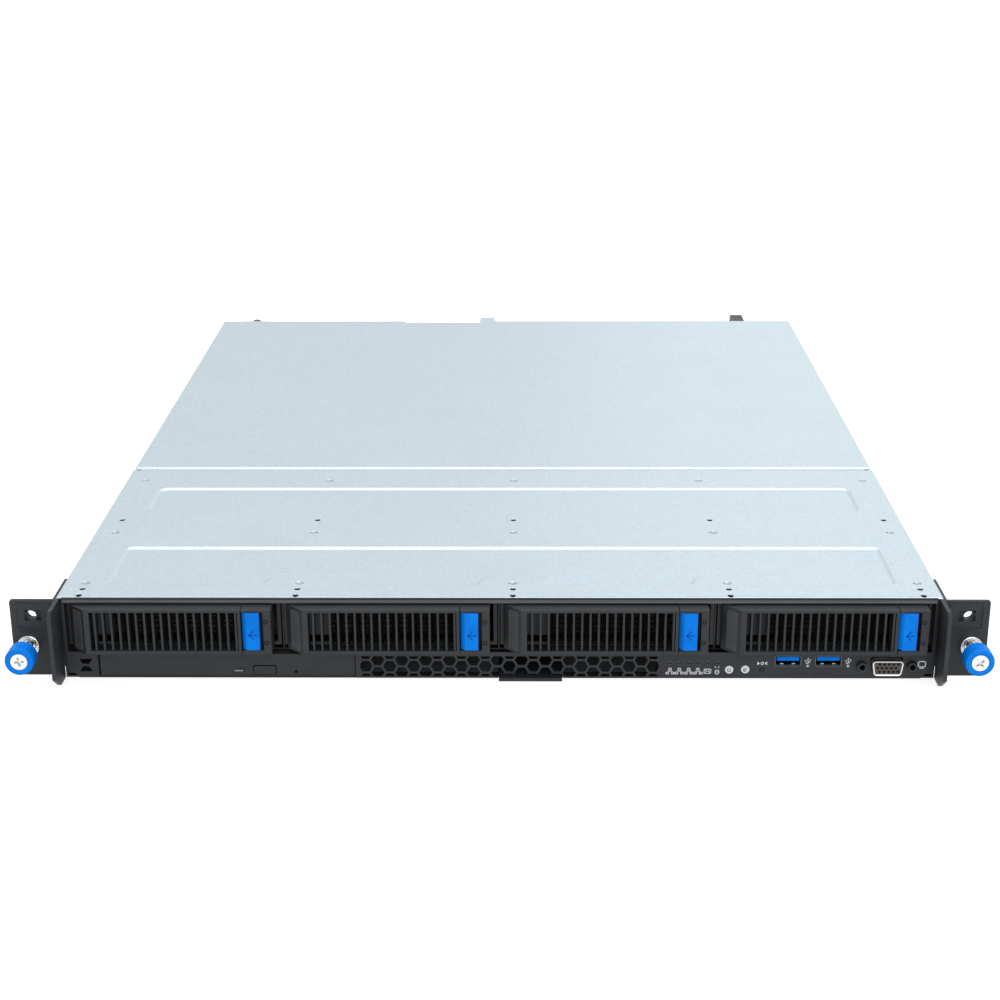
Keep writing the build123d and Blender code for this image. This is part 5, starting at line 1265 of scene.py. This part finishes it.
    def build(self, maker: Maker) -> None:
        """Makes the bay's small parts."""
        carrier, lever = f"carrier_{self.number}", f"lever_{self.number}"
        # Painted shade: the mesh is near black to stand for the shade behind the bars.
        maker.shell(f"carrier_mesh_{self.number}", self.mesh(), "shadow_moulding", carrier)
        lenses, rings = self.light_pipes()
        maker.shell(f"light_pipes_{self.number}", lenses, "black_moulding", carrier)
        # Painted shade: flat near-black rings stand in for the shaded groove round each lens.
        maker.shell(f"light_ring_shades_{self.number}", rings, "shadow_moulding", carrier)
        maker.shell(f"label_field_{self.number}", self.label_field(), "label_field", lever)
        maker.shell(f"latch_mark_{self.number}", self.latch_mark(), "deep_blue_moulding",
                    f"latch_{self.number}")


# Front plate and its sockets


@dataclass
class FrontSockets:
    """Two USB sockets and a display socket with its jack posts."""

    face: float = 1.2
    usb_xs: tuple[float, float] = (144.0, 164.1)
    usb_z: float = 9.75
    usb_size: tuple[float, float] = (12.5, 5.1)
    wall: float = 0.4
    usb_depth: float = 14.0
    display_x: float = 193.0
    display_z: float = 7.6
    display_size: tuple[float, float] = (16.3, 8.3)
    proud: float = 4.2
    flange: float = 6.0
    jack_spacing: float = 24.99
    jack_proud: float = 3.0
    jack_bore: float = 1.42
    contact_pitch: tuple[float, float] = (2.29, 1.98)
    contact_shift: float = 0.57
    contact_radius: float = 0.68

    def usb_loop(self, x: float, grow: float = 0.0) -> np.ndarray:
        """Outline of a USB mouth, grown by a distance."""
        w, h = (size / 2 + grow for size in self.usb_size)
        return rectangle(x - w, x + w, self.usb_z - h, self.usb_z + h, 0.5, 4)

    def display_loop(self, grow: float = 0.0) -> np.ndarray:
        """The D shape: a wide top, sides that lean in towards a narrower bottom."""
        w, h = (size / 2 + grow for size in self.display_size)
        x, z, lean = self.display_x, self.display_z, 1.35
        return polygon([(x - w + lean, z - h), (x + w - lean, z - h), (x + w, z + h),
                        (x - w, z + h)], 1.9 + grow, 7)

    def usb(self, maker: Maker) -> None:
        """Makes the two folded shells, a dark block in each as painted shade, and the small spring
        tabs.
        """
        shells, inner_shades, springs = Shell(), Shell(), Shell()
        f, d, w = self.face, self.usb_depth, self.wall
        for x in self.usb_xs:
            loop = self.usb_loop(x)
            shells.ring(loop, [(w, -d), (w, f - 0.12), (w - 0.1, f), (0.1, f), (0.0, f - 0.12),
                               (0.0, w - d)], Facing.FRONT, 0.0, True, True)
            # Painted shade: a near-black block inside each shell stands in for the shade in the
            # socket's cavity.
            inner_shades.ring(grown(loop, -0.02), [(0.0, 1.0 - d), (0.0, f - 0.7), (-0.2, f - 0.8),
                                              (-0.25, -7.0)], Facing.FRONT, 0.0, True, True)
            for u in (-2.9, 2.9):
                tab = rectangle(x + u - 0.9, x + u + 0.9, self.usb_z - 2.36, self.usb_z - 1.7,
                                0.25, 3)
                springs.prism(tab, -4.0, f - 1.1, Facing.FRONT, 0.0, 0.2)
        maker.shell("usb_shells", shells, "dark_plate", "chassis", ("front_port_shells",))
        maker.shell("usb_inner_shades", inner_shades, "connector_moulding", "chassis")
        maker.shell("usb_springs", springs, "dull_plate", "chassis")

    def display(self, maker: Maker) -> None:
        """Makes the display socket's collar and flange, its insert with painted hole shade, and
        posts.
        """
        f = self.face + self.proud
        collar = Shell()
        collar.ring(self.display_loop(), [(0.0, -self.flange), (0.0, f - 0.5), (-0.08, f - 0.2),
                                          (-0.3, f), (-0.55, f), (-0.8, f - 0.15),
                                          (-0.95, f - 0.5), (-0.95, f - 1.6)], Facing.FRONT, 0.0,
                    True, True)
        w = self.jack_spacing / 2 + 2.4
        h = self.display_size[1] / 2
        plate = rectangle(self.display_x - w, self.display_x + w, self.display_z - h,
                          self.display_z + h, 1.2)
        collar.prism(plate, -self.flange, -self.flange + 2.0, Facing.FRONT, 0.0, 0.2)
        maker.shell("display_collar", collar, "bright_plate", "chassis")
        insert = Shell()
        loop = self.display_loop(-0.94)
        across, up = self.contact_pitch
        holes = [circle(self.display_x + across * (i - 2) + self.contact_shift * shift,
                        self.display_z + up * row, self.contact_radius, 14)
                 for row, shift in ((1, 1), (0, -1), (-1, 1)) for i in range(5)]
        top = f - 0.75
        insert.prism(loop, top - 2.0, top, Facing.FRONT, 0.0)
        maker.shell("display_insert", insert, "socket_moulding", "chassis")
        # Painted shade: near-black discs on the insert stand in for the shade in its contact holes.
        hole_shades = Shell()
        for hole in holes:
            hole_shades.prism(hole, top - 0.1, top + PRINT_HEIGHT, Facing.FRONT, 0.0)
        maker.shell("display_hole_shades", hole_shades, "shadow_moulding", "chassis")
        posts = Shell()
        y, bore = -self.face - self.jack_proud, self.jack_bore
        profile = np.array([(bore, y + 0.2), (bore + 0.1, y), (2.2, y), (2.4, y + 0.2),
                            (2.4, self.flange), (0.02, self.flange), (0.02, y + 5.0),
                            (bore, y + 5.0)])
        for side in (-1, 1):
            posts.turned(profile, self.display_x + side * self.jack_spacing / 2, self.display_z,
                         32)
        maker.shell("display_posts", posts, "black_paint_coat", "chassis")

    def build(self, maker: Maker) -> None:
        """Makes all sockets."""
        self.usb(maker)
        self.display(maker)


@dataclass
class FrontMarks:
    """Lights and printed marks on the lower band, and the bead under the top rail, lighter as a
    painted highlight.
    """

    face: float = -1.2
    light_xs: tuple[float, ...] = (85.4, 90.0, 94.7, 99.3, 104.1, 108.8)
    light_z: float = 8.65
    icon_z: float = 4.2
    power_at: tuple[float, float] = (114.85, 4.95)
    identify_at: tuple[float, float] = (122.9, 5.1)
    reset_at: tuple[float, float] = (131.2, 8.5)
    usb_at: tuple[float, ...] = (153.9, 173.9)
    usb_z: float = 9.2
    screen_at: tuple[float, float] = (210.6, 8.0)
    button_rise: float = 0.3
    drive_mark: tuple[float, float, float] = (-131.7, -128.2, 4.8)
    drive_rise: float = 1.2
    bead_half: float = 215.6

    def lights(self) -> Shell:
        """Six domed lenses, each in a low collar on the plate.

        Both are turned profiles: the lens's radius falls to nothing over the dome's height.
        """
        y = self.face
        lens = np.array([(0.02, 0.6), (0.02, y - 0.05), (0.35, y + 0.02), (0.58, y + 0.2),
                         (0.72, y + 0.5), (0.74, 0.6)])
        collar = np.array([(0.8, y + 0.05), (0.84, y - 0.14), (0.98, y - 0.2), (1.16, y - 0.14),
                           (1.24, y + 0.05)])
        shell = Shell()
        for x in self.light_xs:
            shell.turned(lens, x, self.light_z, 24)
            shell.turned(collar, x, self.light_z, 28)
        return shell

    @staticmethod
    def band(shell: Shell, loop: np.ndarray, width: float, level: float) -> None:
        """Adds a printed line of even width along a closed loop."""
        half = width / 2
        profile = [(half, 0.0), (half, PRINT_HEIGHT), (-half, PRINT_HEIGHT), (-half, 0.0),
                   (half, 0.0)]
        shell.ring(loop, profile, Facing.FRONT, level)

    def blot(self, shell: Shell, loop: np.ndarray) -> None:
        """Adds a filled printed shape on the plate."""
        shell.prism(loop, 0.0, PRINT_HEIGHT, Facing.FRONT, self.face)

    def network_icon(self, shell: Shell, x: float, number: int) -> None:
        """Adds three linked rounded boxes with a small numeral at their right."""
        y, z = self.face, self.icon_z
        self.band(shell, rectangle(x - 0.65, x + 0.65, z + 0.4, z + 1.6, 0.4, 4), 0.42, y)
        for side in (-1, 1):
            m = x + 1.3 * side
            self.band(shell, rectangle(m - 0.6, m + 0.6, z - 1.55, z - 0.6, 0.3, 4), 0.42, y)
        links = [path([(x, z + 0.2), (x, z - 0.1)]),
                 path([(x - 1.3, z - 0.45), (x - 1.3, z - 0.05), (x + 1.3, z - 0.05),
                       (x + 1.3, z - 0.45)])]
        shell.strokes(np.vstack(links), 0.36, Facing.FRONT, y)
        shell.strokes(self.numeral(x + 2.3, z - 1.05, number), 0.26, Facing.FRONT, y)

    @staticmethod
    def numeral(x: float, z: float, number: int) -> np.ndarray:
        """A numeral from one to four in straight lines."""
        w, h = 0.24, 0.5
        shapes = {
            1: [path([(x, z - h), (x, z + h)])],
            2: [path([(x - w, z + h), (x + w, z + h), (x + w, z), (x - w, z), (x - w, z - h),
                      (x + w, z - h)])],
            3: [path([(x - w, z + h), (x + w, z + h), (x + w, z - h), (x - w, z - h)]),
                path([(x - w, z), (x + w, z)])],
            4: [path([(x - w, z + h), (x - w, z), (x + w, z)]),
                path([(x + w, z + h), (x + w, z - h)])],
        }
        return np.vstack(shapes[number])

    def letter_icon(self, shell: Shell, x: float) -> None:
        """Adds an envelope: its outline, its flap and the two lower folds."""
        y, z = self.face, self.icon_z
        self.band(shell, rectangle(x - 1.65, x + 1.65, z - 1.25, z + 1.15, 0.25, 3), 0.36, y)
        folds = [path([(x - 1.5, z + 1.0), (x, z - 0.25), (x + 1.5, z + 1.0)]),
                 path([(x - 1.5, z - 1.1), (x - 0.55, z - 0.1)]),
                 path([(x + 1.5, z - 1.1), (x + 0.55, z - 0.1)])]
        shell.strokes(np.vstack(folds), 0.3, Facing.FRONT, y)

    def lock_icon(self, shell: Shell, x: float) -> None:
        """Adds a tall rounded case with a bow, a cross line and two short rays."""
        y, z = self.face, self.icon_z
        self.band(shell, rectangle(x - 0.95, x + 0.95, z - 1.5, z + 0.4, 0.8, 6), 0.4, y)
        bow = [path([(x - 0.75, z + 0.45), (x - 0.75, z + 0.95)]), arc(x, z + 0.95, 0.75, 0, 180),
               path([(x + 0.75, z + 0.45), (x + 0.75, z + 0.95)]),
               path([(x, z - 0.2), (x, z - 0.75)]),
               path([(x - 1.0, z + 2.4), (x - 0.6, z + 2.0)]),
               path([(x + 1.0, z + 2.4), (x + 0.6, z + 2.0)])]
        shell.strokes(np.vstack(bow), 0.34, Facing.FRONT, y)

    def reset_icon(self, shell: Shell) -> None:
        """Adds a small ring between two filled triangles that point at it."""
        x, z = self.reset_at
        self.band(shell, circle(x, z, 0.62, 20), 0.42, self.face)
        for side in (-1, 1):
            tip, base = x + side * 1.15, x + side * 2.45
            corners = [(tip, z), (base, z - 1.05), (base, z + 1.05)]
            self.blot(shell, np.array(corners[::side]))

    def trident_icon(self, shell: Shell, x: float) -> None:
        """Adds a stem with a foot ring, an arrow head and two side arms."""
        y, z = self.face, self.usb_z
        head = np.array([(x - 0.6, z + 1.55), (x + 0.6, z + 1.55), (x, z + 2.55)])
        for shape in (circle(x, z - 2.1, 0.62, 16), head, circle(x - 1.1, z + 0.75, 0.42, 12),
                      rectangle(x + 0.75, x + 1.45, z + 0.85, z + 1.5, 0.1, 3)):
            self.blot(shell, shape)
        arms = [path([(x, z - 1.9), (x, z + 1.7)]),
                path([(x, z - 1.2), (x - 1.1, z - 0.25), (x - 1.1, z + 0.6)]),
                path([(x, z - 0.6), (x + 1.1, z + 0.25), (x + 1.1, z + 1.0)])]
        shell.strokes(np.vstack(arms), 0.42, Facing.FRONT, y)

    def screen_icon(self, shell: Shell) -> None:
        """Adds a screen's outline on a short foot."""
        x, z = self.screen_at
        y = self.face
        self.band(shell, rectangle(x - 1.75, x + 1.75, z - 1.3, z + 1.6, 0.75, 5), 0.55, y)
        shell.strokes(path([(x - 0.9, z - 2.0), (x + 0.9, z - 2.0)]), 0.5, Facing.FRONT, y)

    def icons(self) -> Shell:
        """All white marks on the plate."""
        shell = Shell()
        for i, x in enumerate(self.light_xs[:4]):
            self.network_icon(shell, x, i + 1)
        self.letter_icon(shell, self.light_xs[4])
        self.lock_icon(shell, self.light_xs[5])
        self.reset_icon(shell)
        for x in self.usb_at:
            self.trident_icon(shell, x)
        self.screen_icon(shell)
        return shell

    def bead(self) -> Shell:
        """The bead under the top rail: its section is carried from one side to the other."""
        y = self.face
        section = np.array([(y + 0.1, 42.75), (y - 0.12, 42.7), (y - 0.85, 42.0), (y - 1.0, 41.75),
                            (y - 1.0, 41.35), (y - 0.85, 41.2), (y - 0.1, 41.1), (y + 0.1, 41.1)])
        ends = [np.column_stack((np.full(len(section), x), section))
                for x in (-self.bead_half, self.bead_half)]
        shell = Shell()
        shell.skin(np.stack(ends), True, True, True)
        return shell

    def build(self, maker: Maker) -> None:
        """Makes the lights, the marks on the plate and the moving pieces, and the bead."""
        maker.shell("band_lights", self.lights(), "lens_moulding", "chassis")
        maker.shell("band_icons", self.icons(), "white_ink", "chassis")
        # Painted highlight: the bead is a lighter copy of the rail's black paint where light
        # catches it.
        maker.shell("rail_bead", self.bead(), "rail_paint_highlight", "chassis")
        x0, x1, z = self.drive_mark
        drive = [path([(x0, z), (x1, z)])]
        x, z = self.power_at
        power = [arc(x, z, 0.85, 125, 415, 20), path([(x, z + 0.3), (x, z + 1.1)])]
        x, z = self.identify_at
        identify = [arc(x - 0.35, z - 0.3, 0.55, 0, 360, 14),
                    path([(x + 0.1, z + 0.15), (x + 1.0, z + 0.95)]),
                    path([(x - 1.1, z + 0.7), (x - 0.4, z + 1.1)])]
        for name, lines, width, rise, body in (
                ("drive_mark", drive, 0.7, self.drive_rise, "disc_tray"),
                ("power_symbol", power, 0.3, self.button_rise, "power_button"),
                ("identify_symbol", identify, 0.36, self.button_rise, "identify_button")):
            mark = Shell()
            mark.strokes(np.vstack(lines), width, Facing.FRONT, self.face - rise)
            maker.shell(name, mark, "grey_ink", body)


# Nodes that keep their shape


@dataclass
class Dressing:
    """Finishes and edge widths of the nodes that keep their shape."""

    eased: tuple[tuple[str, str, float], ...] = (
        ("front_panel", "black_paint_coat", 0.2),
        ("vent_grille", "black_paint_coat", 0.15),
        ("io_bezel", "black_paint_coat", 0.15),
        ("left_rack_ear", "black_paint_coat", 0.2),
        ("right_rack_ear", "black_paint_coat", 0.2),
        ("optical_tray", "black_moulding", 0.15),
        ("eject_button", "black_moulding", 0.2),
        ("asset_tag", "black_moulding", 0.2),
    )
    kept: tuple[tuple[str, str], ...] = (
        ("chassis_tray", "tray_sheet"),
        ("rear_panel", "inner_sheet"),
        ("rear_io_plate", "inner_sheet"),
        ("slot_bracket", "inner_sheet"),
        ("bay_shelf", "cage_sheet"),
        ("bay_dividers", "cage_sheet"),
        ("optical_drive_body", "cage_sheet"),
        ("rear_ports", "dull_plate"),
        ("backplane_board", "board_mask"),
        ("front_io_board", "board_mask"),
        ("motherboard", "board_mask"),
        ("memory_modules", "board_mask"),
        ("drive_connectors", "connector_moulding"),
        ("memory_slots", "connector_moulding"),
        ("fan_frames", "fan_moulding"),
        ("heatsink", "cast_metal"),
        ("front_usb_tongues", "blue_moulding"),
        ("cover_thumbscrew", "blackened_steel"),
        ("power_supply", "supply_sheet"),
        ("power_supply_latch", "black_moulding"),
        ("power_button", "white_moulding"),
        ("identify_button", "white_moulding"),
        ("reset_button", "black_moulding"),
    )

    def build(self, maker: Maker) -> None:
        """Dresses every node that keeps its shape."""
        for node, finish, width in self.eased:
            maker.dressed(node, finish, width)
        for node, finish in self.kept:
            maker.finishes.dress(node, finish)
        for i in range(1, len(BAY_CENTRES) + 1):
            maker.dressed(f"drive_carrier_{i}", "black_moulding", 0.2)
            maker.dressed(f"drive_lever_{i}", "black_moulding", 0.2)
            maker.dressed(f"drive_latch_{i}", "blue_moulding", 0.35, 3)
            maker.finishes.dress(f"hard_drive_{i}", "drive_case_front_shade")
            maker.finishes.dress(f"fan_rotor_{i}", "fan_moulding")


# Studio and camera


@dataclass
class Studio:
    """Pale floor, even light and a white background."""

    floor_half: float = 6.0
    glow: float = 0.75
    sky: float = 0.8

    def floor(self) -> None:
        """Makes the floor, pale for the camera and with the object's soft shadow."""
        half = self.floor_half
        data = bpy.data.meshes.new("floor")
        data.from_pydata([(-half, -half, 0), (half, -half, 0), (half, half, 0), (-half, half, 0)],
                         [], [(0, 1, 2, 3)])
        material = bpy.data.materials.new("pale_floor")
        material.use_nodes = True
        g = Graph(material.node_tree)
        shader = next(n for n in g.tree.nodes if n.type == "BSDF_PRINCIPLED")
        shader.inputs["Base Color"].default_value = (0.55, 0.55, 0.55, 1.0)
        shader.inputs["Roughness"].default_value = 0.9
        shader.inputs["Specular IOR Level"].default_value = 0.1
        shader.inputs["Emission Color"].default_value = (1.0, 1.0, 1.0, 1.0)
        g.feed(shader, {"Emission Strength": g.maths("MULTIPLY", g.seen(), self.glow)})
        data.materials.append(material)
        floor = bpy.data.objects.new("floor", data)
        bpy.context.scene.collection.objects.link(floor)

    def world(self) -> None:
        """White where the camera and reflections see it, softer for the light it gives."""
        world = bpy.data.worlds.new("studio_sky")
        bpy.context.scene.world = world
        world.use_nodes = True
        g = Graph(world.node_tree)
        background = next(n for n in g.tree.nodes if n.type == "BACKGROUND")
        background.inputs["Color"].default_value = (1.0, 1.0, 1.0, 1.0)
        g.feed(background, {"Strength": g.spread(g.seen(), 0.0, 1.0, self.sky, 1.0)})

    def lamp(self, name: str, at: tuple[float, float, float], aim: tuple[float, float, float],
             size: tuple[float, float], power: float) -> None:
        """Adds one soft oblong lamp that faces a point."""
        light = bpy.data.lights.new(name, "AREA")
        light.shape = "RECTANGLE"
        light.size, light.size_y = size
        light.energy = power
        obj = bpy.data.objects.new(name, light)
        bpy.context.scene.collection.objects.link(obj)
        direction = Vector(aim) - Vector(at)
        obj.matrix_world = Matrix.Translation(at) @ direction.to_track_quat("-Z", "Y").to_matrix(
            ).to_4x4()

    def build(self) -> None:
        """Makes the floor, the sky and the lamps."""
        self.floor()
        self.world()
        self.lamp("top_lamp", (0.15, 0.4, 2.0), (0.05, 0.0, 0.0), (1.9, 0.8), 14.0)
        self.lamp("side_lamp", (0.98, 2.1, 0.94), (0.1, 0.0, 0.0), (1.8, 0.9), 2.2)
        self.lamp("front_lamp", (0.5, -2.4, 1.1), (0.0, -0.2, 0.0), (1.6, 1.6), 22.0)
        bpy.context.scene.view_settings.view_transform = "Standard"


@dataclass
class PhotoCamera:
    """The photograph's camera, found from the cover's corners and the screw rows."""

    at: tuple[float, float, float] = (0.0101, -1.0995, 0.396)
    yaw: float = -0.644
    pitch: float = 20.113
    roll: float = -0.211
    focal: float = 1813.5

    def build(self) -> None:
        """Makes the camera.

        Its forward direction is (sin yaw cos pitch, cos yaw cos pitch, -sin pitch). Its right and
        up directions are square to that, turned about it by the roll.
        """
        yaw, pitch, roll = (math.radians(v) for v in (self.yaw, self.pitch, self.roll))
        forward = Vector((math.sin(yaw) * math.cos(pitch), math.cos(yaw) * math.cos(pitch),
                          -math.sin(pitch)))
        right = forward.cross(Vector((0, 0, 1))).normalized()
        up = right.cross(forward)
        turned_right = right * math.cos(roll) + up * math.sin(roll)
        turned_up = -right * math.sin(roll) + up * math.cos(roll)
        basis = Matrix((turned_right, turned_up, -forward)).transposed()
        data = bpy.data.cameras.new("photo_camera")
        data.sensor_width = 36.0
        data.lens = self.focal / PHOTO_SIZE * data.sensor_width
        data.clip_start = 0.01
        camera = bpy.data.objects.new("photo_camera", data)
        camera.matrix_world = Matrix.Translation(self.at) @ basis.to_4x4()
        bpy.context.scene.collection.objects.link(camera)
        bpy.context.scene.camera = camera


def main() -> None:
    """Builds the server's looks, the studio and the camera."""
    logging.basicConfig(level=logging.INFO, format="%(name)s: %(message)s")
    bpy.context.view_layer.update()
    PhotoCamera().build()
    Studio().build()
    maker = Maker(FinishShelf())
    FrontCover().build(maker)
    RearCover().build(maker)
    for number in range(1, len(BAY_CENTRES) + 1):
        BayDetail(number).build(maker)
    FrontSockets().build(maker)
    FrontMarks().build(maker)
    EarScrew(-1).build(maker)
    EarScrew(1, turn=0.7).build(maker)
    for side in (-1, 1):
        SlotSleeve(side).build(maker)
    Dressing().build(maker)


if __name__ == "__main__":
    main()
